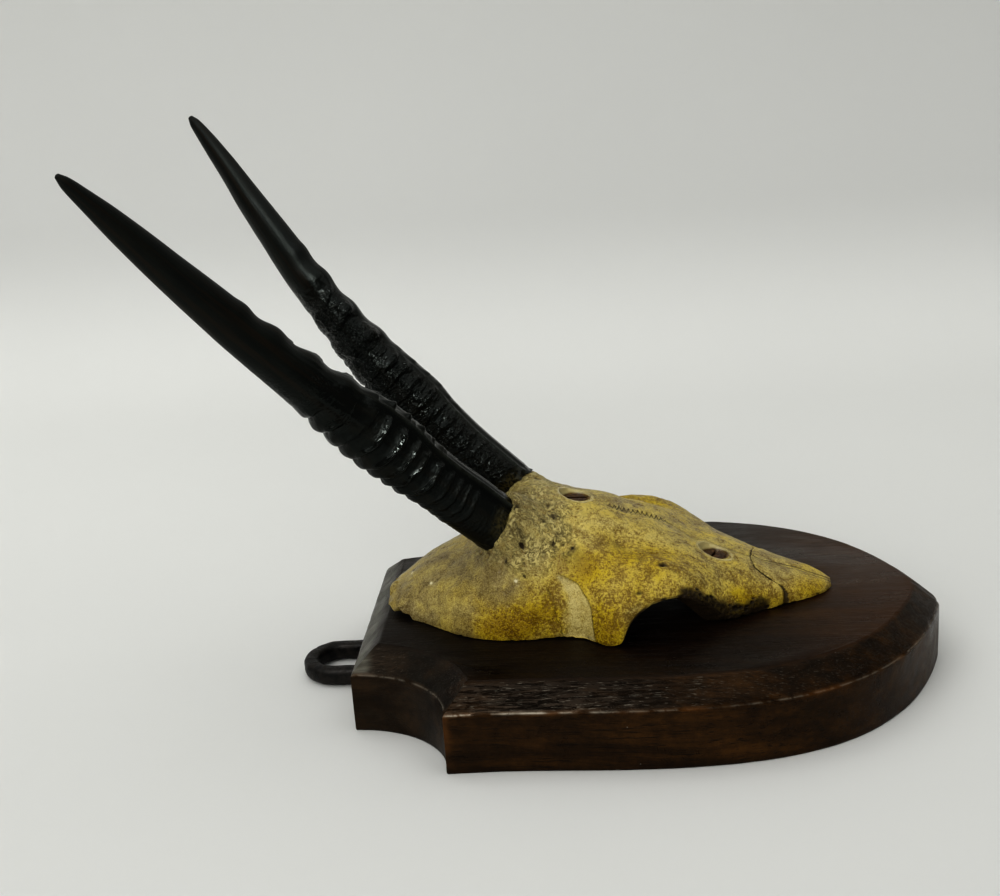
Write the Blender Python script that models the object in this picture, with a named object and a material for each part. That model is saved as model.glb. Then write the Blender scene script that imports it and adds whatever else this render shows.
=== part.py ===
"""Pair of duiker horns on a skull plate, screwed to a wooden shield plaque that lies on its back.

Frame: +Z up, metres. The origin is the middle of the plaque's back. +X runs along the plaque from
its square top end, where the iron loop is, to its point. The animal's nose points to +X, and its
right side faces -Y. All the sizes below are in millimetres.
"""
import bpy
import bmesh
import numpy as np
from math import asin, cos, pi, radians, sin
from mathutils import Matrix, Vector

MM = 0.001
GAP = 0.3                       # clearance that touching pieces keep

# Wooden shield
PLAQUE_LENGTH = 165.0
PLAQUE_HALF_WIDTH = 61.0        # across the corners beside the scoops
PLAQUE_THICK = 23.1
CHAMFER_DROP = 6.2              # how far down the sides the slanted rim reaches
CHAMFER_WIDTH = 7.0             # the same rim seen from above
BACK_CHAMFER = 0.6
SCOOP_LENGTH = 27.6             # quarter-ellipse bites out of the two top corners
SCOOP_WIDTH = 24.4
SIDE_LEAVE = (48.6, -3.8)       # handle of the side's curve where it leaves the scoop
SIDE_ARRIVE = (22.9, 79.4)      # handle of the side's curve where it comes to the point
TIP_BLUNT = 0.9                 # the point is worn back by this much
TIP_ROUND = 3.2                 # and this far along each side
SCOOP_STEPS = 9
SIDE_STEPS = 24
END_X = -PLAQUE_LENGTH / 2

# Iron hanging loop on a strap let into the back
STRAP_LENGTH = 40.0
STRAP_WIDTH = 15.0
STRAP_THICK = 3.0
STRAP_SHOULDER = 9.0            # length of the wide end under the loop's legs
STRAP_LIP = 1.0                 # it stands out of the plaque's end by this much
STRAP_SINK = 0.4                # the strap lies this far inside the plaque's back
STRAP_EDGE = 0.2                # the shoulder is this much wider than the loop on each side
STRAP_ROUND_STEPS = 7
LOOP_REACH = 20.8               # beyond the plaque's end
LOOP_HALF_WIDTH = 10.8
LOOP_BAR = 4.7
LOOP_TOP = 5.6
LEG_INSET = 0.5                 # inside the strap the loop's legs are this much thinner each way
LOOP_FLATNESS = 0.7             # 1 is an oval bar, smaller is squarer
LOOP_BENDS = 13
LOOP_SIDES = 8
STRAP_SCREWS = (-71.0, -52.0)   # x of the two screws that hold the strap

# Screws: radius of the shank and of the head, height of the head, width and depth of the slot
SKULL_SCREW = {"shank": 1.9, "head": 3.3, "head_high": 2.2, "slot": 0.9, "slot_deep": 1.0}
STRAP_SCREW = {"shank": 1.4, "head": 2.7, "head_high": 1.6, "slot": 0.7, "slot_deep": 0.7}
STRAP_SCREW_LONG = 11.0
SKULL_SCREW_DEPTH = 12.0        # how far the skull's screws go into the wood
SCREW_POINT = 0.35              # radius near the point as a share of the shank's
SCREW_TAPER = 4.0               # the taper's length in shank radii
HEAD_RIM = 0.3                  # the head's straight edge
PILOT_TOP = 3.0                 # a screw's hole is cut from this far above its head
SCREW_SIDES = 14

# Skull plate: x, half width at the cut edge, lift of that edge, height of the midline, squareness.
# Heights are above the plaque's face. The edge lifts clear over the eye sockets.
SKULL_STATIONS = (
    (-75.0, 8.6, 1.4, 2.9, 2.0),
    (-73.4, 11.2, 0.8, 4.9, 2.0),
    (-70.3, 14.0, 0.3, 7.2, 2.0),
    (-66.5, 16.4, 0.0, 10.3, 2.0),
    (-62.4, 19.2, 0.0, 12.8, 2.0),
    (-54.8, 25.2, 0.0, 16.2, 2.0),
    (-49.5, 28.6, 0.0, 19.0, 2.0),
    (-41.3, 31.0, 0.0, 27.8, 2.0),
    (-35.5, 31.4, 0.0, 33.2, 2.0),
    (-28.1, 31.0, 0.0, 32.2, 2.0),
    (-20.1, 31.6, 0.0, 30.0, 2.0),
    (-15.7, 33.8, 0.0, 29.0, 2.0),
    (-11.6, 36.4, 0.0, 27.7, 2.0),
    (-8.9, 36.6, 0.6, 26.7, 2.0),
    (-5.9, 35.0, 5.2, 25.2, 2.1),
    (-3.3, 33.6, 7.8, 24.4, 2.2),
    (0.0, 32.5, 9.7, 23.3, 2.2),
    (5.0, 31.6, 11.0, 21.0, 2.3),
    (9.9, 30.0, 9.9, 18.1, 2.5),
    (13.2, 28.0, 7.4, 16.2, 2.6),
    (16.5, 25.6, 4.2, 14.7, 2.6),
    (20.5, 22.8, 0.3, 13.3, 2.6),
    (24.8, 20.8, 0.0, 11.6, 2.5),
    (30.5, 17.2, 0.0, 9.3, 2.4),
    (37.6, 13.4, 0.0, 6.8, 2.2),
    (44.1, 9.8, 0.0, 4.7, 2.1),
    (48.7, 6.4, 0.0, 3.0, 2.0),
    (51.6, 2.4, 0.0, 1.5, 2.0),
)
SKULL_ROWS = 46                 # along the skull, an even number
SKULL_COLUMNS = 28              # across the skull, an even number
ROW_EASE = 0.38                 # how much closer together the rows are at the two ends
BONE_THICK = 2.3
INNER_STEP = 2                  # the inside has one vertex for every two of the outside
INNER_REACH = 0.995             # share of the outside's width that the inside spans
INNER_BACK = 2.6                # the bone is this thick along X at its back edge
INNER_NOSE = 6.0                # and this thick at the nose
INNER_LIFT = 0.15               # the inside's edge lies this far over the outside's

# Swellings and hollows of the bone: x, y, length, width, height; each is on both sides.
SKULL_RELIEF = (
    (2.5, 26.5, 9.5, 3.4, 0.8),       # ridge over the eye socket
    (-3.0, 17.5, 11.0, 4.6, -2.1),    # groove inside that ridge
    (-11.0, 34.0, 4.5, 4.0, 1.0),     # process behind the eye socket
    (-24.0, 28.0, 7.0, 7.0, -1.6),    # temporal hollow behind it
    (-48.0, 22.0, 12.0, 9.0, 1.2),    # side of the braincase
    (14.0, 19.0, 5.0, 5.0, 0.8),      # in front of the eye socket
)

RELIEF_EDGE = (0.05, 0.45)      # near the cut edge the relief turns from upward to outward
RELIEF_OUT = 0.5

# Screw holes through the bone: x, y
SKULL_HOLES = ((-20.1, 0.0), (18.4, -6.4))
HOLE_RADIUS = 2.4
HOLE_RIM_RADIUS = 4.6
HOLE_DEEP = 3.4                 # where the funnel ends
HOLE_RIM_EDGE = 0.4
HOLE_CUT = (-14.0, 6.0)         # the cutter's ends
HOLE_SIDES = 24
HEAD_SINK = 1.0                 # how far the screw's head lies under the rim of its hole
SCREW_LEAN = 0.35               # the screws lean with the bone's slope, but less

# Horns: base and tip of the axis on the animal's left side (+Y), heights from the plaque's back
HORN_BASE = (-41.3, 15.1, 52.3)
HORN_TIP = (-133.6, 59.9, 158.3)
HORN_BOW = (-4.2, -5.2, -1.4)   # the middle of the horn lies this far off the straight axis
BOW_SKEW = 0.85
# share of the length, half width across the broad way, half width across the narrow way
HORN_WIDTHS = (
    (0.00, 8.7, 7.8),
    (0.05, 8.7, 7.8),
    (0.12, 8.5, 7.6),
    (0.20, 8.9, 7.9),
    (0.30, 8.6, 7.6),
    (0.40, 7.6, 6.8),
    (0.50, 6.6, 5.7),
    (0.60, 5.9, 4.8),
    (0.70, 5.2, 4.1),
    (0.80, 4.4, 3.5),
    (0.90, 3.3, 2.7),
    (0.96, 2.3, 2.0),
    (0.985, 1.7, 1.6),
    (1.00, 0.9, 0.9),
)
BROAD_TURN = radians(-45)       # the broad way runs from the front inside to the back outside
KEEL_TURN = radians(2)          # the narrow flat strip down the front, between two edges
KEEL_HIGH = 0.7
KEEL_SPREAD = radians(19)
KEEL_FADE = 0.15                # share of the length where the keel starts to fade
KEEL_END = 0.46                 # and where it is gone
# share, then how far forward the middle is moved and how much the radius grows: first for the
# right horn, then for the left one
HORN_TRIM = (
    (0.00, -1.10, -0.80, 0.00, 0.00),
    (0.10, -0.90, -0.50, -0.15, -0.10),
    (0.18, -0.80, -0.40, -0.30, -0.10),
    (0.24, -0.20, 0.45, 0.35, 0.30),
    (0.30, 0.05, 0.85, 0.25, 0.40),
    (0.38, 0.00, 0.50, 0.00, 0.50),
    (0.48, -0.50, 0.15, -0.10, 0.45),
    (0.60, -0.55, 0.28, 0.00, 0.75),
    (0.70, -0.33, 0.24, 0.50, 0.50),
    (0.78, -0.18, 0.16, 0.65, 0.25),
    (0.86, 0.04, 0.05, 0.93, 0.06),
    (0.94, 0.20, -0.10, 0.73, 0.06),
    (1.00, 0.20, -0.10, 0.30, 0.00),
)
# How far up the axis each horn's seat lies, and how much further up its front is than its back
SEAT_SHIFT = {-1: 0.3, 1: -2.8}
SEAT_LEAN = {-1: 0.21, 1: 0.05}
SEAT_FADE = 0.14                # share of the length over which the seat's slant dies out
# Where each ring's lower edge lies along the horn, base to tip
HORN_RINGS = (0.165, 0.184, 0.204, 0.227, 0.252, 0.280, 0.311, 0.345, 0.388, 0.436, 0.49, 0.55,
              0.615)
RING_DEPTH = 0.19               # height of a ring as a share of its length
RING_STEP = 0.22                # the steep lower part of a ring, as a share of its length
RING_FADE = (0.46, 0.60)        # rings die out between these shares of the length
RING_SIDE = radians(140)        # they are deepest here, on the outside of the back
RING_EVEN = 0.75                # mean share of the depth round the horn
RING_ODD = 0.45                 # and how much it varies
WAVE_PITCH = 0.080              # longer waves down the inner front
WAVE_HIGH = 0.5
WAVE_AT = 0.470                 # one of their crests
WAVE_START = (0.34, 0.38)
WAVE_STOP = (0.60, 0.66)
WAVE_TURN = radians(-20)
WAVE_SPREAD = radians(50)
RING_SAMPLES = (0.0, 0.2, 0.55, 0.85)
HORN_SIDES = 16
HORN_POINT = 0.3                # the very tip stands this far past the last section's middle
HORN_BASE_LOOPS = (0.0, 0.02, 0.05, 0.085, 0.12, 0.145)
HORN_TIP_LOOPS = (0.66, 0.71, 0.76, 0.81, 0.86, 0.91, 0.95, 0.975, 0.99)
RING_SAG = 7.0                  # rings dip this far towards the base on the outer face
SAG_TURN = radians(85)
SAG_SPREAD = radians(42)
SAG_START = (0.0, 0.22)         # the dip grows between these shares of the length
SAG_STOP = (0.6, 1.0)           # and dies out between these
RING_LEAN = 4.6                 # the rings also drop this far from the back to the front
PEDICLE_INNER = 8.2             # the bone is flat under the horn out to this radius
PEDICLE_OUTER = 11.4            # and flows into the skull by this one
PEDICLE_SLOPE = 0.8             # its fall between the two
PEDICLE_FLOOR = 35.0            # bone lower than this isn't lifted


def clear_scene():
    for thing in list(bpy.data.objects):
        bpy.data.objects.remove(thing, do_unlink=True)


def material(name, colour, roughness, metallic=0.0):
    made = bpy.data.materials.new(name)
    made.use_nodes = True
    shader = made.node_tree.nodes["Principled BSDF"]
    shader.inputs["Base Color"].default_value = (*colour, 1.0)
    shader.inputs["Roughness"].default_value = roughness
    shader.inputs["Metallic"].default_value = metallic
    return made


def add_object(name, bm, look=None, smooth_angle=None):
    """Turn a bmesh made in millimetres into an object in metres."""
    bmesh.ops.recalc_face_normals(bm, faces=bm.faces)
    bmesh.ops.scale(bm, vec=(MM, MM, MM), verts=bm.verts)
    mesh = bpy.data.meshes.new(name)
    bm.to_mesh(mesh)
    bm.free()
    if smooth_angle is not None:
        mesh.shade_smooth()
        mesh.set_sharp_from_angle(angle=radians(smooth_angle))
    made = bpy.data.objects.new(name, mesh)
    if look is not None:
        mesh.materials.append(look)
    bpy.context.scene.collection.objects.link(made)
    return made


def cut(target, cutter):
    """Take one shape out of another."""
    cutter.hide_render = True
    cutter.display_type = "WIRE"
    boolean = target.modifiers.new("cut " + cutter.name, "BOOLEAN")
    boolean.operation = "DIFFERENCE"
    boolean.solver = "EXACT"
    boolean.object = cutter


def smooth_step(value, low, high):
    part = np.clip((value - low) / (high - low), 0.0, 1.0)
    return part * part * (3 - 2 * part)


def flowing(table, column, where):
    """Read one column of a table of stations on a smooth curve through them."""
    rows = np.array(table, dtype=float)
    x = rows[:, 0]
    y = rows[:, column]
    chord = np.diff(y) / np.diff(x)
    slope = np.zeros(len(x))
    slope[1:-1] = np.where(chord[:-1] * chord[1:] > 0,
                           2 * chord[:-1] * chord[1:] / (chord[:-1] + chord[1:] + 1e-12), 0.0)
    slope[0] = chord[0]
    slope[-1] = chord[-1]
    k = np.clip(np.searchsorted(x, where, side="right") - 1, 0, len(x) - 2)
    step = x[k + 1] - x[k]
    s = np.clip((where - x[k]) / step, 0.0, 1.0)
    near = y[k] * (1 + 2 * s) * (1 - s) ** 2 + slope[k] * step * s * (1 - s) ** 2
    far = y[k + 1] * s * s * (3 - 2 * s) + slope[k + 1] * step * s * s * (s - 1)
    return near + far


# Plaque


def side_curve(inset):
    """The long side of the shield, one half, as fine points moved in by the inset."""
    start = np.array((SCOOP_LENGTH, PLAQUE_HALF_WIDTH))
    tip = np.array((PLAQUE_LENGTH, 0.0))
    leave = start + np.array(SIDE_LEAVE)
    arrive = np.array((PLAQUE_LENGTH - SIDE_ARRIVE[0], SIDE_ARRIVE[1]))
    t = np.linspace(0.0, 1.0, 400)[:, None]
    curve = ((1 - t) ** 3 * start + 3 * (1 - t) ** 2 * t * leave
             + 3 * (1 - t) * t * t * arrive + t ** 3 * tip)
    run = np.gradient(curve, axis=0)
    normal = np.stack((run[:, 1], -run[:, 0]), axis=1)
    normal /= np.linalg.norm(normal, axis=1)[:, None]
    return curve + normal * inset


def half_outline(inset):
    """Half of the shield's outline from the middle of its top end to its point."""
    side = side_curve(inset)
    side_y = side[np.argmin(np.abs(side[:, 0] - SCOOP_LENGTH - inset)), 1]
    length = SCOOP_LENGTH + inset
    width = SCOOP_WIDTH + inset
    first = asin(inset / length)
    last = pi / 2 - asin(max(0.0, PLAQUE_HALF_WIDTH - side_y) / width)
    points = []
    for k in range(SCOOP_STEPS + 1):
        turn = first + (last - first) * k / SCOOP_STEPS
        points.append((length * sin(turn), PLAQUE_HALF_WIDTH - width * cos(turn)))
    kept = side[(side[:, 0] > points[-1][0]) & (side[:, 1] > 0.0)]
    run = np.concatenate(([0.0], np.cumsum(np.linalg.norm(np.diff(kept, axis=0), axis=1))))
    for k in range(1, SIDE_STEPS + 1):
        reach = (run[-1] - TIP_ROUND) * k / SIDE_STEPS
        points.append((np.interp(reach, run, kept[:, 0]), np.interp(reach, run, kept[:, 1])))
    points.append((kept[-1][0] - TIP_BLUNT, 0.0))
    return points


def outline(inset):
    half = half_outline(inset)
    other = [(x, -y) for x, y in reversed(half[:-1])]
    return [(x + END_X, y) for x, y in half + other]


def add_loop(bm, points, z):
    return [bm.verts.new((x, y, z)) for x, y in points]


def bridge(bm, lower, upper):
    count = len(lower)
    for k in range(count):
        n = (k + 1) % count
        bm.faces.new((lower[k], lower[n], upper[n], upper[k]))


def build_plaque(look):
    bm = bmesh.new()
    levels = ((BACK_CHAMFER, 0.0), (0.0, BACK_CHAMFER), (0.0, PLAQUE_THICK - CHAMFER_DROP),
              (CHAMFER_WIDTH, PLAQUE_THICK))
    loops = [add_loop(bm, outline(inset), z) for inset, z in levels]
    for lower, upper in zip(loops, loops[1:]):
        bridge(bm, lower, upper)
    bm.faces.new(loops[0])
    bm.faces.new(loops[-1])
    return add_object("plaque", bm, look, 20)


# Turned pieces and bars


def turned(profile, sides=SCREW_SIDES):
    """A closed solid turned about Z from (radius, height) pairs that start and end on the axis."""
    bm = bmesh.new()
    loops = []
    for radius, z in profile:
        if radius <= 0.0:
            loops.append([bm.verts.new((0.0, 0.0, z))])
            continue
        ring = [(radius * cos(2 * pi * k / sides), radius * sin(2 * pi * k / sides))
                for k in range(sides)]
        loops.append(add_loop(bm, ring, z))
    for lower, upper in zip(loops, loops[1:]):
        for k in range(sides):
            n = (k + 1) % sides
            ring = [lower[k % len(lower)], lower[n % len(lower)],
                    upper[n % len(upper)], upper[k % len(upper)]]
            corners = [v for place, v in enumerate(ring) if v not in ring[:place]]
            bm.faces.new(corners)
    return bm


def place(bm, location, axis=(0.0, 0.0, 1.0)):
    turn = Vector((0, 0, 1)).rotation_difference(Vector(axis)).to_matrix().to_4x4()
    bmesh.ops.transform(bm, matrix=Matrix.Translation(location) @ turn, verts=bm.verts)


def box(low, high):
    bm = bmesh.new()
    bmesh.ops.create_cube(bm, size=1.0)
    size = [b - a for a, b in zip(low, high)]
    middle = [(a + b) / 2 for a, b in zip(low, high)]
    bmesh.ops.scale(bm, vec=size, verts=bm.verts)
    bmesh.ops.translate(bm, vec=middle, verts=bm.verts)
    return bm


def screw(name, form, length, head_at, axis, look):
    """A countersunk wood screw: its head's flat face is at head_at, and axis points out of it."""
    shank = form["shank"]
    head = form["head"]
    profile = ((0.0, -length), (SCREW_POINT * shank, -length + shank),
               (shank, -length + SCREW_TAPER * shank), (shank, -form["head_high"]),
               (head, -HEAD_RIM), (head, 0.0), (0.0, 0.0))
    bm = turned(profile)
    place(bm, head_at, axis)
    made = add_object(name, bm, look, 35)
    slot = box((-head - 1.0, -form["slot"] / 2, -form["slot_deep"]),
               (head + 1.0, form["slot"] / 2, 1.0))
    place(slot, head_at, axis)
    cut(made, add_object(name + "_slot_cutter", slot))
    return made


def pilot(target, name, form, length, head_at, axis, countersink):
    """Take room for a screw out of what it is driven into or through."""
    wall = form["shank"] + GAP
    sink = form["head"] + GAP
    low = -length - 2 * GAP
    if countersink:
        profile = ((0.0, low), (wall, low), (wall, -form["head_high"] - GAP), (sink, -HEAD_RIM),
                   (sink, PILOT_TOP), (0.0, PILOT_TOP))
    else:
        profile = ((0.0, low), (wall, low), (wall, PILOT_TOP), (0.0, PILOT_TOP))
    bm = turned(profile)
    place(bm, head_at, axis)
    cut(target, add_object(name, bm))


# Hanger


def strap_outline(grow):
    """The strap seen from above: a shoulder under the loop and a tongue with a round end."""
    wide = LOOP_HALF_WIDTH + STRAP_EDGE + grow
    narrow = STRAP_WIDTH / 2 + grow
    neck = END_X + STRAP_SHOULDER + grow
    round_x = END_X + STRAP_LENGTH - STRAP_WIDTH / 2
    mouth = END_X - STRAP_LIP - 4 * grow
    half = [(mouth, wide), (neck, wide), (neck, narrow)]
    half += [(round_x + narrow * sin(a), narrow * cos(a))
             for a in np.linspace(0.0, pi / 2, STRAP_ROUND_STEPS)]
    return half + [(x, -y) for x, y in reversed(half[:-1])]


def prism(points, low, high):
    bm = bmesh.new()
    loops = (add_loop(bm, points, low), add_loop(bm, points, high))
    bridge(bm, *loops)
    for loop in loops:
        bm.faces.new(loop)
    return bm


def loop_bar(bm):
    """The hanging loop: a rounded bar bent in a U, whose two legs thin down into the strap."""
    middle = LOOP_HALF_WIDTH - LOOP_BAR / 2
    bend_x = END_X - LOOP_REACH + LOOP_HALF_WIDTH
    strap_top = STRAP_SINK + STRAP_THICK
    thin = (STRAP_SINK + LEG_INSET, strap_top - LEG_INSET)
    full = (GAP, LOOP_TOP)
    root = END_X + STRAP_SHOULDER / 2
    leg = [(root, middle, pi / 2, thin), (END_X - LEG_INSET, middle, pi / 2, thin),
           (END_X - 2 * STRAP_LIP, middle, pi / 2, full)]
    bend = [(bend_x - middle * sin(a), middle * cos(a), pi / 2 + a, full)
            for a in np.linspace(0.0, pi, LOOP_BENDS)]
    other = [(x, -y, turn + pi, level) for x, y, turn, level in reversed(leg)]
    rings = []
    for x, y, turn, (low, top) in leg + bend + other:
        ring = []
        for k in range(LOOP_SIDES):
            a = 2 * pi * (k + 0.5) / LOOP_SIDES
            across = LOOP_BAR / 2 * np.sign(cos(a)) * abs(cos(a)) ** LOOP_FLATNESS
            rise = (top - low) / 2 * np.sign(sin(a)) * abs(sin(a)) ** LOOP_FLATNESS
            spot = (x + across * cos(turn), y + across * sin(turn), (top + low) / 2 + rise)
            ring.append(bm.verts.new(spot))
        rings.append(ring)
    for one, two in zip(rings, rings[1:]):
        bridge(bm, one, two)
    bm.faces.new(rings[0])
    bm.faces.new(rings[-1])


def build_hanger(look):
    bar = bmesh.new()
    loop_bar(bar)
    made = add_object("hanger", bar, look, 35)
    strap = prism(strap_outline(0.0), STRAP_SINK, STRAP_SINK + STRAP_THICK)
    strap = add_object("strap", strap)
    strap.hide_render = True
    strap.display_type = "WIRE"
    join = made.modifiers.new("join strap", "BOOLEAN")
    join.operation = "UNION"
    join.solver = "EXACT"
    join.object = strap
    return made


def strap_recess(plaque):
    """The bed for the strap in the plaque's back, open at the plaque's end."""
    bed = prism(strap_outline(GAP), -2.0, STRAP_SINK + STRAP_THICK + GAP)
    cut(plaque, add_object("strap_bed", bed))


# Skull


def horn_frame(side):
    """Base, tip and directions of a horn; side is 1 for the animal's left and -1 for its right."""
    mirror = np.array((1.0, side, 1.0))
    base = np.array(HORN_BASE) * mirror
    tip = np.array(HORN_TIP) * mirror
    along = (tip - base) / np.linalg.norm(tip - base)
    out = np.array((0.0, float(side), 0.0))
    out -= along * (out @ along)
    out /= np.linalg.norm(out)
    front = np.cross(along, out) * -side
    return base, tip, along, front, out


def skull_surface(x, across):
    """Points of the bone's outside. across runs from -1 at the right edge to 1 at the left."""
    half_width = flowing(SKULL_STATIONS, 1, x)
    lift = flowing(SKULL_STATIONS, 2, x)
    height = flowing(SKULL_STATIONS, 3, x)
    power = 2.0 / flowing(SKULL_STATIONS, 4, x)
    turn = across * pi / 2
    y = half_width * np.sign(across) * np.abs(np.sin(turn)) ** power
    z = lift + (height - lift) * np.abs(np.cos(turn)) ** power
    hold = smooth_step(np.cos(turn), *RELIEF_EDGE)
    for cx, cy, length, width, high in SKULL_RELIEF:
        shape = np.exp(-((x - cx) / length) ** 2 - ((np.abs(y) - cy) / width) ** 2)
        z = z + high * shape * hold
        y = y + RELIEF_OUT * high * shape * (1 - hold) * np.sign(across)
    return np.stack((x + 0 * y, y, z + PLAQUE_THICK + GAP), axis=-1)


def raise_pedicles(points):
    """Lift the bone to a flat seat under each horn."""
    for side in (-1, 1):
        base, _, along, front, _ = horn_frame(side)
        offset = points - base
        level = offset @ along
        flat = offset - level[..., None] * along
        reach = np.linalg.norm(flat, axis=-1)
        rise = (1 - smooth_step(reach, PEDICLE_INNER, PEDICLE_OUTER))
        rise = rise * (points[..., 2] > PEDICLE_FLOOR)
        seat = SEAT_SHIFT[side] + SEAT_LEAN[side] * (flat @ front) - GAP
        target = seat - PEDICLE_SLOPE * np.maximum(0.0, reach - PEDICLE_INNER)
        points = points + ((target - level) * rise)[..., None] * along
    return points


def inner_surface(x, across):
    """Points of the bone's inside: the outside moved in along its normal."""
    here = skull_surface(x, across)
    step = 0.01
    along = skull_surface(x + step * 10, across) - skull_surface(x - step * 10, across)
    over = skull_surface(x, np.clip(across + step, -0.999, 0.999)) - skull_surface(
        x, np.clip(across - step, -0.999, 0.999))
    normal = np.cross(along, over)
    normal /= np.linalg.norm(normal, axis=-1)[..., None] + 1e-9
    return here - normal * BONE_THICK


def skull_rows(first, last, count):
    """Rows along the skull, closer together at its two ends."""
    share = np.linspace(0.0, 1.0, count + 1)
    eased = (1 - ROW_EASE) * share + ROW_EASE * (0.5 - 0.5 * np.cos(pi * share))
    return first + (last - first) * eased


def grid_faces(bm, verts):
    rows = len(verts)
    columns = len(verts[0])
    for i in range(rows - 1):
        for j in range(columns - 1):
            bm.faces.new((verts[i][j], verts[i + 1][j], verts[i + 1][j + 1], verts[i][j + 1]))


def border(verts):
    """The edge of a grid of vertices, once round."""
    first = list(verts[0])
    right = [row[-1] for row in verts[1:]]
    last = list(reversed(verts[-1]))[1:]
    left = [row[0] for row in reversed(verts[1:-1])]
    return first + right + last + left


def build_skull(look):
    back = SKULL_STATIONS[0][0]
    nose = SKULL_STATIONS[-1][0]
    rows = skull_rows(back, nose, SKULL_ROWS)
    columns = np.linspace(-1.0, 1.0, SKULL_COLUMNS + 1)
    x, across = np.meshgrid(rows, columns, indexing="ij")
    outer = raise_pedicles(skull_surface(x, across))
    inner_rows = np.interp(rows[::INNER_STEP], (back, nose), (back + INNER_BACK, nose - INNER_NOSE))
    x, across = np.meshgrid(inner_rows, columns[::INNER_STEP] * INNER_REACH, indexing="ij")
    inner = inner_surface(x, across)
    inner[:, 0, 2] = inner_edge_height(inner[:, 0])
    inner[:, -1, 2] = inner_edge_height(inner[:, -1])
    bm = bmesh.new()
    outer_verts = [[bm.verts.new(p) for p in row] for row in outer]
    inner_verts = [[bm.verts.new(p) for p in row] for row in inner]
    grid_faces(bm, outer_verts)
    grid_faces(bm, inner_verts)
    outer_edge = border(outer_verts)
    inner_edge = border(inner_verts)
    count = len(outer_edge)
    for k, here in enumerate(inner_edge):
        after = inner_edge[(k + 1) % len(inner_edge)]
        a = outer_edge[INNER_STEP * k]
        b = outer_edge[(INNER_STEP * k + 1) % count]
        c = outer_edge[(INNER_STEP * k + 2) % count]
        bm.faces.new((a, b, here))
        bm.faces.new((b, after, here))
        bm.faces.new((b, c, after))
    return add_object("skull", bm, look, 60)


def inner_edge_height(points):
    """The inside's edge lies level with the outside's edge beside it."""
    return PLAQUE_THICK + GAP + flowing(SKULL_STATIONS, 2, points[:, 0]) + INNER_LIFT


def surface_height(x, y):
    """Height of the bone's outside at a place seen from above."""
    across = np.linspace(-0.9, 0.9, 181)
    points = skull_surface(np.full_like(across, x), across)
    return float(np.interp(y, points[:, 1], points[:, 2]))


def skull_hole(k, x, y):
    """Head height and outward direction of a screw hole in the bone."""
    z = surface_height(x, y)
    run = 3.0
    slope_x = (surface_height(x + run, y) - surface_height(x - run, y)) / (2 * run)
    slope_y = (surface_height(x, y + run) - surface_height(x, y - run)) / (2 * run)
    axis = Vector((-slope_x * SCREW_LEAN, -slope_y * SCREW_LEAN, 1.0)).normalized()
    return Vector((x, y, z)), axis


def build_skull_screws(skull, plaque, look):
    for k, (x, y) in enumerate(SKULL_HOLES, start=1):
        rim, axis = skull_hole(k, x, y)
        low, high = HOLE_CUT
        hole = turned(((0.0, low), (HOLE_RADIUS, low), (HOLE_RADIUS, -HOLE_DEEP),
                       (HOLE_RIM_RADIUS, -HOLE_RIM_EDGE), (HOLE_RIM_RADIUS, high), (0.0, high)),
                      HOLE_SIDES)
        place(hole, rim, axis)
        cut(skull, add_object("skull_hole_cutter_%d" % k, hole))
        head_at = rim - axis * HEAD_SINK
        length = (head_at.z - PLAQUE_THICK + SKULL_SCREW_DEPTH) / axis.z
        screw("skull_screw_%d" % k, SKULL_SCREW, length, head_at, axis, look)
        pilot(plaque, "skull_pilot_%d" % k, SKULL_SCREW, length, head_at, axis, False)


def build_strap_screws(hanger, plaque, look):
    down = Vector((0.0, 0.0, -1.0))
    for k, x in enumerate(STRAP_SCREWS, start=1):
        head_at = Vector((x, 0.0, STRAP_SINK))
        screw("strap_screw_%d" % k, STRAP_SCREW, STRAP_SCREW_LONG, head_at, down, look)
        pilot(hanger, "strap_hole_%d" % k, STRAP_SCREW, STRAP_SCREW_LONG, head_at, down, True)
        pilot(plaque, "strap_pilot_%d" % k, STRAP_SCREW, STRAP_SCREW_LONG, head_at, down, False)


# Horns


def ring_swell(share):
    """Height of the rings at a share of the horn's length, in millimetres."""
    length = np.linalg.norm(np.array(HORN_TIP) - np.array(HORN_BASE))
    swell = 0.0
    for low, high in zip(HORN_RINGS, HORN_RINGS[1:]):
        if low <= share < high:
            part = (share - low) / (high - low)
            depth = RING_DEPTH * (high - low) * length
            swell = depth * min(1.0, part / RING_STEP) ** 0.6 * (1 - part) ** 0.8
    return swell * (1 - smooth_step(share, *RING_FADE))


def front_wave(place, turn):
    """The long shallow waves down the inner front of the horn."""
    away = (turn - WAVE_TURN) / WAVE_SPREAD
    window = smooth_step(place, *WAVE_START) * (1 - smooth_step(place, *WAVE_STOP))
    return WAVE_HIGH * cos(2 * pi * (place - WAVE_AT) / WAVE_PITCH) * np.exp(-away ** 2) * window


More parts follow.
